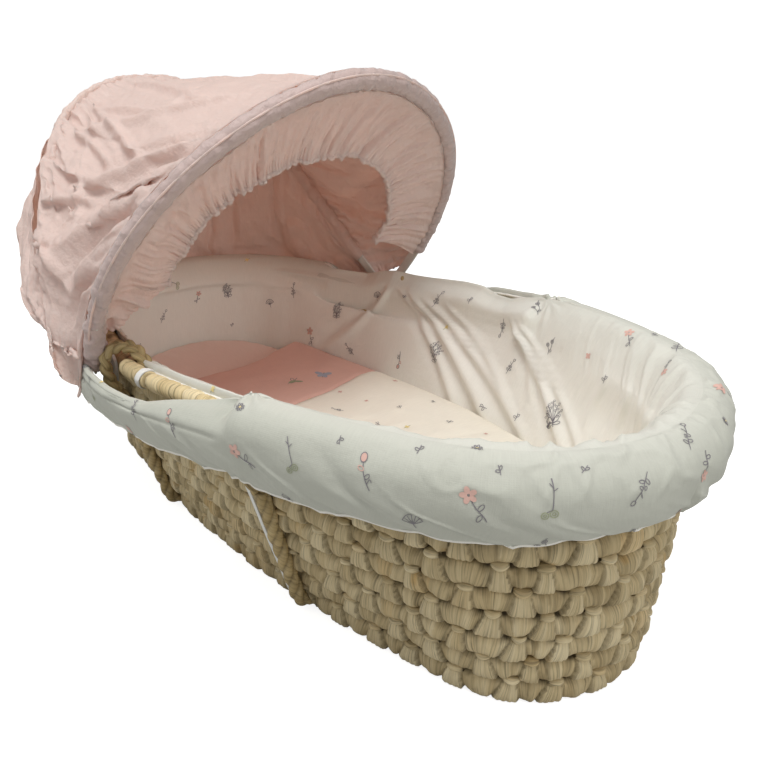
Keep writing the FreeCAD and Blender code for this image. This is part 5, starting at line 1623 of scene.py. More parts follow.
# long canopy folds: from (run, back), to (run, back), width, height; run goes from the near
# foot to the far foot and back from the front hoop to the rear hoop
CANOPY_FOLDS = [
    (0.30, 0.02, 0.13, 0.78, 0.032, 0.015), (0.225, 0.00, 0.06, 0.60, 0.024, 0.010),
    (0.36, 0.10, 0.22, 0.95, 0.012, 0.009), (0.13, 0.0, 0.03, 0.60, 0.016, 0.007),
    (0.44, 0.25, 0.33, 1.00, 0.011, 0.007), (0.50, 0.10, 0.57, 0.95, 0.012, 0.006),
    (0.40, 0.98, 0.31, 0.35, 0.007, 0.006), (0.60, 0.05, 0.70, 0.90, 0.014, 0.006),
    (0.74, 0.0, 0.86, 0.8, 0.014, 0.007), (0.475, 1.0, 0.43, 0.4, 0.006, 0.005),
    (0.345, 1.0, 0.30, 0.55, 0.006, 0.006), (0.27, 0.98, 0.27, 0.55, 0.007, 0.006),
    (0.21, 0.96, 0.24, 0.50, 0.006, 0.005), (0.38, 1.0, 0.40, 0.55, 0.006, 0.005),
    (0.33, 0.78, 0.20, 0.62, 0.008, 0.006), (0.25, 0.62, 0.12, 0.90, 0.008, 0.006),
    (0.53, 0.98, 0.50, 0.45, 0.006, 0.004), (0.17, 0.95, 0.10, 0.45, 0.008, 0.007),
]
CANOPY_CREASES = [(11, 4.2, 0.5, 0.0034, 61), (17, 6.0, -0.8, 0.0017, 62),
                  (34, 11.0, 0.3, 0.0006, 63), (24, 8.0, 1.3, 0.0009, 64)]
APRON_CREASES = [(17, 4.0, 0.4, 0.0030, 71), (29, 7.0, -0.7, 0.0018, 72)]


def canopy_sheet():
    """Coarse canopy lattice: slack towards the sides, taut at the top."""
    rows, cols = 130, 46
    front = place(front_curve(0.0060, 0.003, rows, 0.036), FRONT_TILT, -0.0085)
    rear = place(rear_curve(0.0022, 0.022, rows), REAR_TILT, 0.0040)
    share, back = np.linspace(0, 1, rows), np.linspace(0, 1, cols)
    points = mix(front[:, None], rear[:, None], back[None, :, None])
    uneven = (0.003 * fractal(share[:, None] * 14, back[None] * 4, 3, 3)
              * np.sin(back * math.pi)[None])
    points = points + grid_normals(points) * uneven[..., None]
    settled = settle(points, "canopy_sim", shrink=-0.06, frames=26, gravity=0.5, cap=0.022,
                     stiff=8.0, bend=0.12)
    slack = 1 - 0.62 * bell(share - 0.5, 0.13) - 0.62 * ease(0.35, 0.15, share)
    points = points + (settled - points) * slack[:, None, None]
    return points


def canopy():
    points = upsample(canopy_sheet())
    rows, cols = points.shape[:2]
    normals = grid_normals(points)
    run, back = lattice(np.linspace(0, 1, rows), np.linspace(0, 1, cols))
    # puckers where the cloth is gathered on the rear hoop, fine crumple elsewhere
    relief = (ease(0.80, 0.96, back) * ease(1.0, 0.97, back)
              * (0.0020 * noise(run * 95 + 2 * back, back * 3, 5)
                 + 0.0010 * np.sin(run * 420 + 3 * noise(run * 30, 0, 2))))
    relief += (0.0007 * fractal(run * 60, back * 18, 7, 2)
               + 0.0010 * np.abs(noise(run * 24 + back * 6, back * 7 - run * 10, 8))
               * np.sin(back * math.pi))
    relief += (creases(run, back, CANOPY_CREASES, warp=0.8, sharp=3.2, low=-0.2)
               * ease(0.0, 0.14, back) * (0.45 + 0.65 * ease(0.25, 0.95, back))
               * (0.40 + 0.6 * ease(0.50, 0.30, run)) * (1 - 0.45 * ease(0.26, 0.12, run)))
    points = points + normals * relief[..., None]
    # the near side is not gathered low down: it billows over the rear hoop
    billow = ease(0.36, 0.10, run) * ease(0.25, 0.95, back)
    points[..., 1] -= billow * (0.036 + 0.006 * noise(run * 10, back * 1.6, 41))
    points[..., 0] -= billow * (0.008 + 0.006 * noise(run * 9, back * 1.5, 42))
    # and its lower edge and corner hang outside the rim
    low = ease(0.10, 0.0, run) * np.sin(np.clip(back * 1.15, 0, 1) * math.pi) ** 0.6
    corner = ease(0.12, 0.0, run) * ease(0.45, 0.0, back) * ease(0.0, 0.16, back)
    points[..., 1] -= low * 0.012 + corner * 0.010
    points[..., 2] -= low * 0.034 + corner * 0.030
    # long diagonal folds from the front hoop down and back
    for run0, back0, run1, back1, width, height in CANOPY_FOLDS:
        step_run, step_back = run1 - run0, (back1 - back0) * 0.35
        square = step_run ** 2 + step_back ** 2
        off_run, off_back = run - run0, (back - back0) * 0.35
        share = (off_run * step_run + off_back * step_back) / square
        away = (off_run * step_back - off_back * step_run) / math.sqrt(square)
        away = away + 0.010 * np.sin(share * 2.6)
        spread = width * (0.6 + 0.7 * np.clip(share, 0, 1))
        tent = np.clip(1 - np.sqrt((away / spread) ** 2 + 0.010) * 0.72, 0, 1) ** 1.15
        dip = 0.40 * np.clip(1 - np.abs(away - spread * 2.0) / (spread * 1.5), 0, 1)
        fold = (height * (tent - dip) * ease(-0.08, 0.12, share) * ease(1.10, 0.80, share)
                * ease(0.0, 0.11, back))
        points = points + normals * fold[..., None]
    hang("canopy_cloth", points, "canopy")


def apron_sheet():
    """Coarse lattice from the rear hoop down to a hem outside the dressing's head end."""
    rows, cols = 150, 40
    top = place(rear_curve(0.0022, 0.040, rows), REAR_TILT, -0.0040)
    outline = Oval(HALF_L + 0.004, HALF_W + 0.004, 0.204)
    x, y, nx, ny = outline.at_turn(np.linspace(0.315, 0.685, rows)[::-1])
    share, down = np.linspace(0, 1, rows), np.linspace(0, 1, cols)
    to_end = np.minimum(share, 1 - share)
    near = ease(0.42, 0.22, share)
    z = (mix(0.180, 0.212, near) - 0.010 * ease(0.10, 0.0, to_end)
         + 0.004 * noise(share * 18, 0, 4))
    hem = np.stack([x, y, z], -1)
    points = mix(top[:, None], hem[:, None], down[None, :, None])
    arch = np.sin(down * math.pi)[None]
    near_arch = np.sin(np.clip(down * 0.92 + 0.04, 0, 1) * math.pi)[None]
    swell = (arch * (0.017 + 0.001 * ease(0.0, 0.25, to_end)[:, None])
             + near_arch * (0.036 * near * ease(0.0, 0.10, share))[:, None])
    points = points + np.stack([nx, ny, 0 * nx], -1)[:, None] * swell[..., None]
    uneven = 0.004 * fractal(share[:, None] * 16, down[None] * 3, 9, 3) * arch
    points = points + grid_normals(points) * uneven[..., None]
    points = settle(points, "rear_sim", shrink=-0.03, frames=22, gravity=0.8, cap=0.016,
                    stiff=12.0, bend=0.4)
    return points


def rear_apron():
    points = upsample(apron_sheet())
    rows, cols = points.shape[:2]
    normals = grid_normals(points)
    run, down = lattice(np.linspace(0, 1, rows), np.linspace(0, 1, cols))
    relief = (ease(0.22, 0.0, down) * 0.0022 * noise(run * 85, down * 3, 5)
              + ease(0.85, 1.0, down) * 0.0022 * np.sin(run * 260 + 2 * noise(run * 20, 0, 3))
              + 0.0009 * fractal(run * 50, down * 14, 7, 2))
    relief += (creases(run, down, APRON_CREASES, warp=0, sharp=2.4, low=-0.4)
               * ease(0.0, 0.12, down) * ease(1.0, 0.85, down))
    points = points + normals * relief[..., None]
    # its near part follows the billowing canopy so the two stay closed behind the hoop
    follow = ease(0.36, 0.10, run) * ease(0.62, 0.0, down)
    points[..., 1] -= follow * 0.033
    points[..., 0] -= follow * 0.007
    hang("rear_apron_cloth", points,
         "rear_panel")
    path = points[:, -1][::2]
    share = np.linspace(0, 1, len(path))
    tube("apron_hem_elastic", path, 0.0022 + 0.0007 * np.abs(np.sin(share * 260)), PINK,
         node="rear_panel_elastic")


canopy()
rear_apron()

# ------------------------------------------------------------------ handles
# x of the edges of the husk bands wound round the grip; one narrow gap is left bare
BAND_EDGES = np.array([-0.104, -0.082, -0.060, -0.036, -0.0305, -0.006, 0.018, 0.040, 0.062,
                       0.084, 0.104])
BARE_BAND = 3
# rope legs from the grip's end to the sling: (x, outwards from the grip, up from the grip)
LEG_STATIONS = {
    "head": [(-0.070, -0.0115, -0.012), (-0.083, -0.0125, 0.001), (-0.097, -0.0080, 0.0095),
             (-0.1125, 0.001, 0.0080), (-0.1225, 0.009, -0.002), (-0.1240, 0.010, -0.016),
             (-0.1245, 0.004, -0.038)],
    "foot": [(0.098, 0.000, 0.009), (0.110, 0.001, 0.009), (0.1195, 0.003, 0.002),
             (0.1240, 0.004, -0.012), (0.125, 0.002, -0.036)],
}


def grip_z(x):
    return GRIP_Z - 0.0088 + 0.080 * (x - GRIP_X0) + 0.0015 * np.sin(x * 30)


def grip(side, sign):
    """Bands of husk wound over the rope."""
    x = np.linspace(GRIP_X0 + 0.004, GRIP_X1 - 0.004, 300)
    path = np.stack([x, sign * (GRIP_Y + 0.0040 - 0.004 * (x / 0.1) ** 2), grip_z(x)], -1)
    sides = 26
    x, angle = lattice(x, circle(sides))
    wound = x + 0.0035 * np.sin(angle + 0.7) + 0.0006 * noise(angle * 3, x * 40, 4)
    band = np.clip(np.searchsorted(BAND_EDGES, wound) - 1, 0, len(BAND_EDGES) - 2)
    across = (wound - BAND_EDGES[band]) / (BAND_EDGES[band + 1] - BAND_EDGES[band])
    bare = band == BARE_BAND
    radius = (0.0080 + 0.0007 * (1 - (2 * across - 1) ** 2) + 0.0006 * across
              + 0.0005 * noise(band * 3.1, 0, 5) - 0.0028 * bare
              + 0.00025 * noise(wound / 0.0016, angle * 0.6, 6)
              + 0.0003 * noise(wound / 0.005, angle, 7) - 0.0012 * bell(across - 1, 0.05))
    radius = radius * (0.55 + 0.45 * ease(GRIP_X0, GRIP_X0 + 0.014, x)
                       * ease(GRIP_X1, GRIP_X1 - 0.014, x))
    # second channel: painted shade at each band's edge and in the sunken bare gap
    tone = tones(0.5 + 0.35 * noise(band * 2.3, 0, 8) - 0.5 * bare,
                 np.clip(0.7 * bell(across - 1, 0.04) + 0.55 * bare, 0, 1), 0.1)
    uv = (wrap_cols(wound), wrap_cols(angle, TAU) * 0.01)
    points, tone, uv = capped(tube_points(path, radius, sides), tone, uv)
    grid(side + "_grip_wrap", points, GRIP, loop_v=True, uv=uv, strand=uv, tone=tone,
         body=side + "_handle", node=side + "_handle_grip")


def grip_tape(side, sign):
    """Tape tied round the grip."""
    radius, half, count = 0.0095, 0.0042, 59
    x = -0.0475
    centre = np.array([x, sign * (GRIP_Y + 0.0032), grip_z(x)])
    angle = circle(count)
    spokes = np.stack([0.0020 * np.sin(angle), radius * np.cos(angle), radius * np.sin(angle)], -1)
    width = np.linspace(-half, half, 6)
    crown = (0.0006 * np.cos(width / half * 1.4)
             + 0.0003 * noise(np.arange(count)[:, None] * 0.4, width[None] * 300, 4))
    points = (centre + spokes[:, None] + np.array([1, 0, 0]) * width[None, :, None]
              + (spokes / radius)[:, None] * crown[..., None])
    grid(side + "_tape_loop", points, TAPE, loop_u=True, thick=-0.0008, body=side + "_handle",
         node=side + "_handle_tape")


def rope_leg(side, sign, end):
    """Three-strand braid from the grip's end down to the sling."""
    stations = [(x, sign * (GRIP_Y + out), GRIP_Z + up) for x, out, up in LEG_STATIONS[end]]
    stations.append((-0.125 if end == "head" else 0.125,
                     sign * (wall_y(SLING_X, 0.148) + 0.0066), SLING_TOP))
    path = spline(stations, 150)
    up = (0, sign, 0)
    radius = 0.0040 if end == "head" else 0.0036
    width, pitch, sides, seed = 0.0040, 0.040, 12, 2
    run = arc_lengths(path, 0)
    _, normal, across = frames_along(path, up)
    dist, angle = lattice(run, circle(sides))
    parts = []
    for j in range(3):
        phase = TAU * (run / pitch + j / 3)
        strand = (path + normal * (width * np.sin(phase))[:, None]
                  + across * (width * 0.55 * np.sin(2 * phase))[:, None])
        swell = radius * (1 + 0.06 * noise(run / 0.005, j, seed))
        tone = tones(0.45 + 0.3 * noise(dist / 0.02 + j * 5, 0, seed), 0.15, 0.15)
        uv = (wrap_cols(angle, TAU) * 0.004 + j, wrap_cols(dist))
        points, tone, uv = capped(tube_points(strand, swell, sides, up), tone, uv)
        parts.append(grid("%s_rope_%s_%d" % (side, end, j), points, ROPE, loop_v=True, uv=uv,
                          strand=uv, tone=tone, body=None))
    obj = join("%s_rope_leg_%s" % (side, end), parts)
    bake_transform(obj)
    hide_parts("%s_handle_rope_%s" % (side, end))


for side, sign in SIDES:
    grip(side, sign)
    grip_tape(side, sign)
    for end in ("head", "foot"):
        rope_leg(side, sign, end)


# ------------------------------------------------------------------ printed sprigs and blossoms
# Motifs are drawn in millimetres with the stem end at the bottom.
def ellipse(x, y, half_x, half_y, rotation=0.0, count=16):
    angle = np.linspace(0, TAU, count + 1)
    u, v = half_x * np.cos(angle), half_y * np.sin(angle)
    cos, sin = math.cos(rotation), math.sin(rotation)
    return np.stack([x + u * cos - v * sin, y + u * sin + v * cos], -1)


def curve(*stations):
    return spline([(x, y, 0.0) for x, y in stations], 14)[:, :2]


def leaf(x, y, length, width, rotation):
    angle = np.concatenate([np.linspace(0, math.pi, 10), np.linspace(math.pi, TAU, 10)[1:]])
    u, v = length * (1 - np.cos(angle)) / 2, width * np.sin(angle)
    cos, sin = math.cos(rotation), math.sin(rotation)
    return np.stack([x + u * cos - v * sin, y + u * sin + v * cos], -1)


def petals(count, start, reach, half_l, half_w, y=0.0, points=16):
    return [ellipse(reach * math.cos(angle), y + reach * math.sin(angle), half_l, half_w, angle,
                    points) for angle in start + circle(count)]


def spray_lines():
    lines = []
    for angle, height in ((-0.62, 11), (-0.30, 15), (0.02, 18), (0.34, 15), (0.68, 11)):
        x, y = height * math.sin(angle), -8 + height * math.cos(angle) * 1.1
        lines.append(("g", 0.6, curve((0, -10), (x * 0.45, -8 + (y + 8) * 0.55), (x, y))))
        for j in range(4):
            lean = angle + (-1) ** j * 0.9
            lines.append(("g", 0.45, ellipse(x * (1 - 0.14 * j) + 1.5 * math.sin(lean),
                                             y - 2.1 * j + 1.2 * math.cos(lean), 1.25, 0.9,
                                             1.57 - lean, 8)))
    return lines


def pair_heads():
    lines = []
    for x, y in ((-3.6, 3), (4.2, 6.5)):
        lines += [("g", 0.7, ellipse(x, y, 2.4, 2.2)), ("g", 0.6, ellipse(x, y, 0.9, 0.8))]
    return lines


def burst_rays():
    return [("g", 0.55, curve((0, -4), (4.5 * math.cos(angle), -4 + 4.5 * math.sin(angle)),
                              (8.5 * math.cos(angle), -3.4 + 7.5 * math.sin(angle))))
            for angle in 0.35 + 0.4 * np.arange(7)]


# kind: (fills (ink, outline), lines (ink, line width, outline))
MOTIFS = {
    "bloom": ([("p", petal) for petal in petals(5, 1.5, 3.7, 2.9, 2.1, y=9)], [
        ("g", 0.4, ellipse(0, 9, 0.9, 0.9, 0, 8)),
        ("g", 0.7, curve((0.6, 4.5), (1.6, -2), (4.2, -9), (5.0, -14))),
        ("g", 0.6, leaf(2.4, -4, 6, 1.5, 0.5)), ("g", 0.6, leaf(3.4, -8, 6, 1.5, -2.5))]),
    "stem": ([], [
        ("g", 0.7, curve((-3, 14), (-1, 6), (0.5, -1), (1.5, -7))),
        ("g", 0.6, curve((-1.5, 8), (-4.0, 10.5))), ("g", 0.6, curve((-1.2, 6), (1.8, 8.5))),
        ("l", 0.7, ellipse(3.4, -9.5, 2.9, 2.6)), ("l", 0.6, ellipse(3.4, -9.5, 1.2, 1.1)),
        ("l", 0.7, ellipse(-2.6, -12, 2.6, 2.3)), ("l", 0.6, ellipse(-2.6, -12, 1.0, 0.9)),
        ("g", 0.6, curve((1.5, -7), (-2.0, -9.5)))]),
    "tulip": ([("p", ellipse(0, 11, 2.3, 3.0))], [
        ("g", 0.6, ellipse(0, 11, 2.7, 3.5)),
        ("g", 0.7, curve((0, 7.5), (0.6, 1), (1.8, -6), (4.0, -13))),
        ("p", 0.8, leaf(0.6, 2.2, 5, 1.5, 2.6)), ("g", 0.6, leaf(1.4, -4, 5, 1.4, 0.6)),
        ("g", 0.6, curve((2.4, -8), (5.6, -4.5), (6.6, -7)))]),
    "spray": ([], spray_lines() + [
        ("g", 0.6, leaf(0, -10, 9, 1.9, 0.9)), ("g", 0.6, leaf(0, -10, 9, 1.9, 2.3)),
        ("g", 0.6, leaf(0, -11, 7, 1.6, 0.2)), ("g", 0.6, leaf(0, -11, 7, 1.6, 2.95)),
        ("g", 0.7, curve((0, -10), (0.2, -14)))]),
    "twig": ([], [
        ("g", 0.6, curve((-3, -11), (-1.0, -4), (1.2, 3), (4.0, 10))),
        ("g", 0.6, ellipse(4.8, 11.6, 1.9, 1.5, 0.6)), ("g", 0.6, ellipse(2.0, 1.2, 1.6, 1.1, -0.5)),
        ("g", 0.6, ellipse(-1.6, 0.8, 1.5, 1.0, 1.2)), ("g", 0.6, leaf(-1.6, -5.5, 4.5, 1.2, 2.4)),
        ("g", 0.6, leaf(-0.8, -3.5, 4.5, 1.2, 0.1)), ("g", 0.6, curve((1.4, 4), (-1.4, 7.5)))]),
    "pair": ([], pair_heads() + [
        ("g", 0.6, curve((-3.6, 0.8), (-1.6, -5), (-3.4, -10))),
        ("g", 0.6, curve((4.2, 4.2), (2.2, -2), (-1.8, -6))),
        ("g", 0.6, leaf(-2.0, -6, 5, 1.3, 0.2)), ("g", 0.6, curve((5.6, 8.5), (9, 12)))]),
    "daisy": ([], [("g", 0.6, petal) for petal in petals(8, 0, 2.6, 1.5, 0.8, points=8)]
              + [("y", 0.8, ellipse(0, 0, 0.8, 0.8, 0, 8))]),
    "burst": ([], burst_rays() + [
        ("g", 0.6, curve((-7.8, -0.8), (-4, 3.8), (0, 4.6), (4, 3.8), (7.8, -0.8))),
        ("g", 0.6, curve((0, -4), (0.8, -9)))]),
    "tiny": ([], [
        ("g", 0.55, curve((-1.5, -3.5), (0, 0), (0.6, 3.5))),
        ("g", 0.55, leaf(0, 0, 3.2, 0.9, 0.7)), ("g", 0.55, leaf(-0.4, -1, 3.2, 0.9, 2.5))]),
    "yellow": ([("y", petal) for petal in petals(4, 0.4, 1.5, 1.5, 1.1)], [
        ("l", 0.6, curve((1.5, 1.5), (4.0, 3.0))), ("l", 0.6, curve((-1.5, -1.5), (-3.6, -3.2)))]),
    "dot": ([("p", petal) for petal in petals(4, 0.7, 1.4, 1.5, 1.1)], []),
    "leaf_green": ([("l", leaf(-9, -2, 13, 3.4, 0.5)), ("l", leaf(0, 2, 11, 2.6, -0.5))], [
        ("g", 0.8, curve((-11, -3), (-4, 0.5), (2, 5), (7, 10))),
        ("g", 0.7, leaf(-1, 3, 9, 2.2, 1.5))]),
    "leaf_blue": ([("b", leaf(0, 0, 13, 3.6, 0.6)), ("b", leaf(0, 0, 13, 3.6, 2.6)),
                   ("b", leaf(0, 0, 9, 3.0, -0.9)), ("b", leaf(0, 0, 9, 3.0, 3.9))],
                  [("g", 0.8, curve((0, -8), (0, 0), (1, 7)))]),
}
# placed prints by cloth: kind, rotation in degrees, scale, x, y, z
PRINTS = {
    "out": [
        ("bloom", 35, 1.0, 0.1562, -0.2246, 0.2044), ("stem", 0, 1.0, 0.2065, -0.2145, 0.2243),
        ("tulip", 0, 1.0, 0.2693, -0.1957, 0.2292), ("bloom", 20, 1.0, 0.3426, -0.1593, 0.2213),
        ("stem", -10, 1.0, 0.3792, -0.1204, 0.2289), ("twig", 170, 1.0, 0.4096, -0.0609, 0.2308),
        ("tiny", 0, 1.1, 0.2964, -0.1662, 0.2489), ("daisy", 0, 1.0, 0.3239, -0.1375, 0.2512),
        ("daisy", 20, 0.9, 0.1425, -0.2163, 0.2421), ("burst", 0, 1.0, 0.3064, -0.1815, 0.2021),
        ("twig", 0, 1.0, 0.4036, 0.0008, 0.2473), ("bloom", 160, 0.75, 0.4192, 0.0073, 0.2267),
        ("yellow", 0, 1.0, 0.0687, -0.1967, 0.2275), ("twig", 20, 1.0, 0.0003, -0.2421, 0.198),
        ("tulip", 10, 0.9, 0.0645, -0.2382, 0.2045), ("tiny", 30, 1.0, 0.3472, -0.1394, 0.245),
        ("tiny", -20, 1.0, 0.3837, -0.0938, 0.2446), ("tiny", 200, 1.0, 0.2406, -0.1935, 0.2437)],
    "in": [
        ("spray", -5, 0.85, -0.1799, 0.148, 0.1631), ("spray", 0, 1.0, -0.0087, 0.1585, 0.1514),
        ("spray", 0, 1.05, 0.189, 0.1363, 0.148), ("spray", 10, 0.8, -0.3377, 0.0755, 0.1677),
        ("twig", 170, 0.9, 0.0826, 0.1748, 0.2049), ("pair", 0, 0.8, 0.158, 0.1674, 0.2048),
        ("pair", 20, 0.85, 0.1199, 0.1841, 0.2349), ("twig", -20, 0.8, 0.1088, 0.1603, 0.1682),
        ("twig", -10, 1.1, 0.3035, 0.1527, 0.2512), ("bloom", 180, 0.6, 0.3177, 0.1145, 0.2459),
        ("tulip", 160, 0.8, -0.0596, 0.1522, 0.1269), ("twig", 10, 0.8, -0.2587, 0.1404, 0.1737),
        ("twig", -25, 0.9, -0.0259, 0.1792, 0.2089), ("tiny", 0, 1.3, 0.1403, 0.1401, 0.1244),
        ("tiny", 90, 1.3, 0.0908, 0.1408, 0.1185), ("twig", 0, 0.8, -0.3586, -0.0175, 0.1421),
        ("bloom", 10, 0.75, 0.2517, 0.1529, 0.2461), ("yellow", 0, 1.0, -0.003, 0.1748, 0.1814),
        ("yellow", 0, 1.0, -0.3314, 0.1073, 0.2071), ("dot", 0, 1.2, 0.2148, 0.1551, 0.2138),
        ("bloom", -20, 0.6, -0.3551, 0.0363, 0.161), ("twig", 60, 0.8, -0.1435, 0.1404, 0.1183),
        ("tiny", 0, 1.2, 0.247, 0.1413, 0.203), ("tiny", 40, 1.2, 0.2727, 0.1659, 0.251),
        ("tiny", 0, 1.2, 0.0268, 0.1795, 0.2219)],
    "band": [("leaf_blue", -10, 0.95, -0.1048, 0.0638, 0.1153),
             ("leaf_green", 25, 0.95, -0.1085, 0.0231, 0.1157)],
    "bed": [
        ("dot", 0, 1.2, -0.0369, 0.1231, 0.1134), ("yellow", 0, 1.0, 0.0737, 0.0382, 0.1188),
        ("dot", 0, 1.0, -0.0467, 0.0434, 0.1177), ("tiny", 20, 1.2, 0.0323, 0.0665, 0.1195),
        ("tiny", -30, 1.2, 0.0935, 0.0842, 0.118), ("tiny", 60, 1.2, 0.0463, 0.0206, 0.1175),
        ("twig", 80, 0.6, -0.0073, 0.008, 0.1189)],
}
WALL_KINDS = ["twig", "bloom", "tiny", "spray", "daisy", "tulip", "yellow", "pair", "stem", "burst"]
BED_KINDS = ["tiny", "dot", "yellow", "tiny", "daisy"]


def scatter_prints():
    """Fills the rest of the cloth, keeping clear of the prints already placed."""
    taken = [np.array(item[3:]) for items in PRINTS.values() for item in items]

    def add(side, kind, angle, size, spot, spacing):
        if min(np.linalg.norm(spot - other) for other in taken) >= spacing:
            taken.append(spot)
            PRINTS[side].append((kind, angle, size, *spot))

    columns = 38
    k = 0
    for side, rises in (("out", (0.030, -0.006, -0.040)), ("in", (-0.020, -0.055, -0.090))):
        for j, rise in enumerate(rises):
            for i in range(columns):
                turn = (i + 0.5 * (j % 2) + 0.25 * noise(i * 3.1, j * 1.7, 90)) / columns % 1.0
                x, y, nx, ny = ROLL.at_turn(turn)
                z = crest(x) + rise
                if side == "out":
                    out, z = PAD_R - max(0.0, -rise) * 0.2, z - 0.030
                else:
                    out = -0.030 + rise * 0.28
                k += 1
                add(side, WALL_KINDS[(k * 7 + j * 3) % 10], 80.0 * noise(k * 1.3, 2.0, 91), 0.85,
                    np.array([x + nx * out, y + ny * out, z]), spacing=0.046)
    for i in range(9):
        for j in range(5):
            spot = np.array([-0.05 + i * 0.047 + 0.012 * noise(i * 2.3, j * 1.9, 92),
                             -0.10 + j * 0.05 + 0.012 * noise(j * 2.7, i * 1.3, 93), 0.118])
            add("bed", BED_KINDS[(i * 3 + j) % 5], 30.0 * i, 0.9, spot, spacing=0.034)


def view_axes(azimuth, elevation):
    """Right, up and back of a view, from angles in degrees."""
    azimuth, elevation = math.radians(azimuth), math.radians(elevation)
    right = Vector((math.cos(azimuth), math.sin(azimuth), 0))
    back = Vector((math.sin(azimuth) * math.cos(elevation),
                   -math.cos(azimuth) * math.cos(elevation), math.sin(elevation)))
    return right, back.cross(right), back


PRINT_UP = view_axes(50.7, 23.6)[1]  # motifs stand upright as seen from the camera


def facing_side(side, spot):
    """Rough direction of the printed face of the cloth."""
    beyond = spot.x - max(-0.18, min(0.18, spot.x))
    if side == "out":
        return Vector((beyond, spot.y, 0.10))
    if side == "in":
        return Vector((-beyond, -spot.y, 0.15))
    return Vector((0, 0, 1))


def lay_prints(target, side, tag):
    """Lays a side's motifs on the target as thin flat meshes, one per ink."""
    tree = BVHTree.FromObject(target, bpy.context.evaluated_depsgraph_get())
    layers = {}
    for kind, angle, size, x, y, z in PRINTS[side]:
        spot, normal, _, _ = tree.find_nearest(Vector((x, y, z)))
        if normal.dot(facing_side(side, spot)) < 0:
            normal = -normal
        up = PRINT_UP - normal * PRINT_UP.dot(normal)
        up.normalize()
        right = up.cross(normal)
        cos, sin = math.cos(math.radians(angle)), math.sin(math.radians(angle))
        right, up = right * cos + up * sin, up * cos - right * sin

        def drop(point):
            base = spot + right * (point[0] * size * 0.001) + up * (point[1] * size * 0.001)
            hit, facing, _, _ = tree.ray_cast(base + normal * 0.012, -normal, 0.030)
            if hit is None:
                hit, facing, _, _ = tree.find_nearest(base)
            if facing.dot(normal) < 0:
                facing = -facing
            return hit + facing * 0.00035 + normal * 0.0001

        fills, lines = MOTIFS[kind]
        for ink, outline in fills:
            verts, faces = layers.setdefault(ink, ([], []))
            centre = outline.mean(0)
            first, count = len(verts), len(outline) - 1
            verts.append(drop(centre))
            for share in (0.5, 1.0):
                verts += [drop(centre + (point - centre) * share) for point in outline[:-1]]
            for i in range(count):
                here, ahead = first + 1 + i, first + 1 + (i + 1) % count
                faces.append((first, here, ahead))
                faces.append((here, here + count, ahead + count, ahead))
        for ink, width, line in lines:
            verts, faces = layers.setdefault(ink, ([], []))
            along = np.gradient(line, axis=0)
            along /= np.maximum(np.linalg.norm(along, axis=1, keepdims=True), 1e-9)
            sideways = np.stack([-along[:, 1], along[:, 0]], -1) * width / 2 / max(size, 0.6)
            first = len(verts)
            for point, step in zip(line, sideways):
                verts += [drop(point + step), drop(point - step)]
            for i in range(first, first + 2 * (len(line) - 1), 2):
                faces.append((i, i + 1, i + 3, i + 2))
    for ink, (verts, faces) in layers.items():
        name = "print_" + tag + "_" + ink
        mesh = bpy.data.meshes.new(name)
        mesh.from_pydata([tuple(vert) for vert in verts], [], faces)
        mesh.materials.append(INKS[ink])
        obj = bpy.data.objects.new(name, mesh)
        bpy.context.scene.collection.objects.link(obj)
        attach(obj, "basket")


scatter_prints()
lay_prints(dressing, "out", "rim")
lay_prints(dressing, "in", "lining")
lay_prints(coverlet, "bed", "coverlet")
lay_prints(cover_band, "band", "band")


# ------------------------------------------------------------------ floor, light, camera
def stage_floor():
    half, z = 12.0, -0.0005
    mesh = bpy.data.meshes.new("floor")
    mesh.from_pydata([(-half, -half, z), (half, -half, z), (half, half, z), (-half, half, z)], [],
                     [(0, 1, 2, 3)])
    floor = bpy.data.objects.new("floor", mesh)
    bpy.context.scene.collection.objects.link(floor)
    shader = Shader("floor_paper")
    cloud = shader.noise(shader.position(), Scale=3.0, Detail=2.0)
    color = shader.ramp(cloud, (0.3, (0.56, 0.56, 0.55, 1)), (0.7, (0.58, 0.58, 0.57, 1)))
    # glows for the camera only
    seen = shader.node("LightPath").outputs["Is Camera Ray"]
    shader.feed(shader.surface, {
        "Base Color": color, "Roughness": 0.95, "Specular IOR Level": 0.1,
        "Emission Color": (1, 1, 1, 1), "Emission Strength": shader.math("MULTIPLY", seen, 0.86)})
    mesh.materials.append(shader.material)


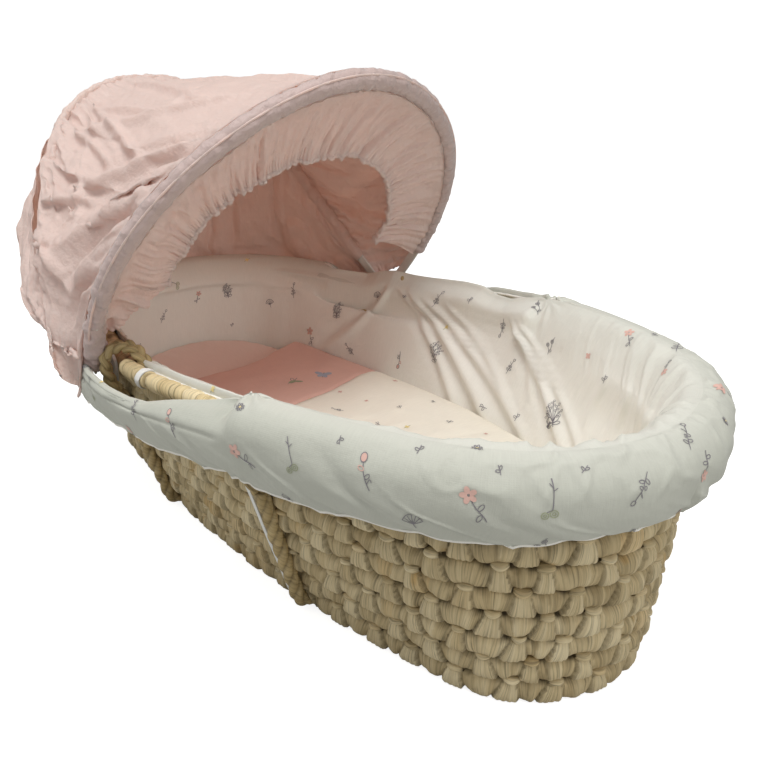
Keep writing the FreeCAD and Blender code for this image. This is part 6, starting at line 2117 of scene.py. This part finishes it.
def studio_world():
    """Pale surround, brighter for the camera than as a light."""
    world = bpy.data.worlds.new("studio")
    bpy.context.scene.world = world
    world.use_nodes = True
    tree = world.node_tree
    background = tree.nodes["Background"]
    background.inputs["Color"].default_value = (1, 0.995, 0.985, 1)
    path = tree.nodes.new("ShaderNodeLightPath")
    strength = tree.nodes.new("ShaderNodeMath")
    strength.operation = "MULTIPLY_ADD"
    strength.inputs[1].default_value = 0.80  # added for camera rays
    strength.inputs[2].default_value = 0.30  # for all rays
    tree.links.new(path.outputs["Is Camera Ray"], strength.inputs[0])
    tree.links.new(strength.outputs[0], background.inputs["Strength"])


def area_light(name, place, target, size, power, color=(1, 1, 1)):
    light = bpy.data.lights.new(name, "AREA")
    light.shape = "SQUARE"
    light.size = size
    light.energy = power
    light.color = color
    obj = bpy.data.objects.new(name, light)
    bpy.context.scene.collection.objects.link(obj)
    obj.location = place
    aim = Vector(target) - Vector(place)
    obj.rotation_euler = aim.to_track_quat("-Z", "Y").to_euler()


def add_camera():
    target, distance, roll = (0, 0, 0.15), 0.9625, math.radians(-0.1079)
    data = bpy.data.cameras.new("camera")
    camera = bpy.data.objects.new("camera", data)
    bpy.context.scene.collection.objects.link(camera)
    right, up, back = view_axes(azimuth=50.7467, elevation=23.6224)
    right, up = (right * math.cos(roll) + up * math.sin(roll),
                 -right * math.sin(roll) + up * math.cos(roll))
    spot = Vector([start + step * distance for start, step in zip(target, back)])
    turned = Matrix((right, up, back)).transposed().to_4x4()
    camera.matrix_world = Matrix.Translation(spot) @ turned
    data.sensor_width = 36.0
    data.lens = 40.96176219
    data.shift_x = 0.061192829
    data.shift_y = 0.0065590613
    data.clip_start = 0.01
    bpy.context.scene.camera = camera


stage_floor()
studio_world()
area_light("key_light", (0.60, -0.45, 2.55), (0, 0, 0.2), size=1.1, power=33, color=(1, 0.99, 0.97))
area_light("foot_light", (2.1, 0.15, 1.05), (-0.15, 0, 0.30), size=1.0, power=10,
           color=(1, 0.98, 0.95))
area_light("fill_light", (-0.9, -1.9, 1.3), (0.0, 0, 0.15), size=1.4, power=8,
           color=(1, 0.99, 0.97))
area_light("top_light", (-0.8, -0.5, 2.4), (-0.1, 0, 0.2), size=1.2, power=13)
add_camera()
bpy.context.scene.view_settings.view_transform = "Standard"
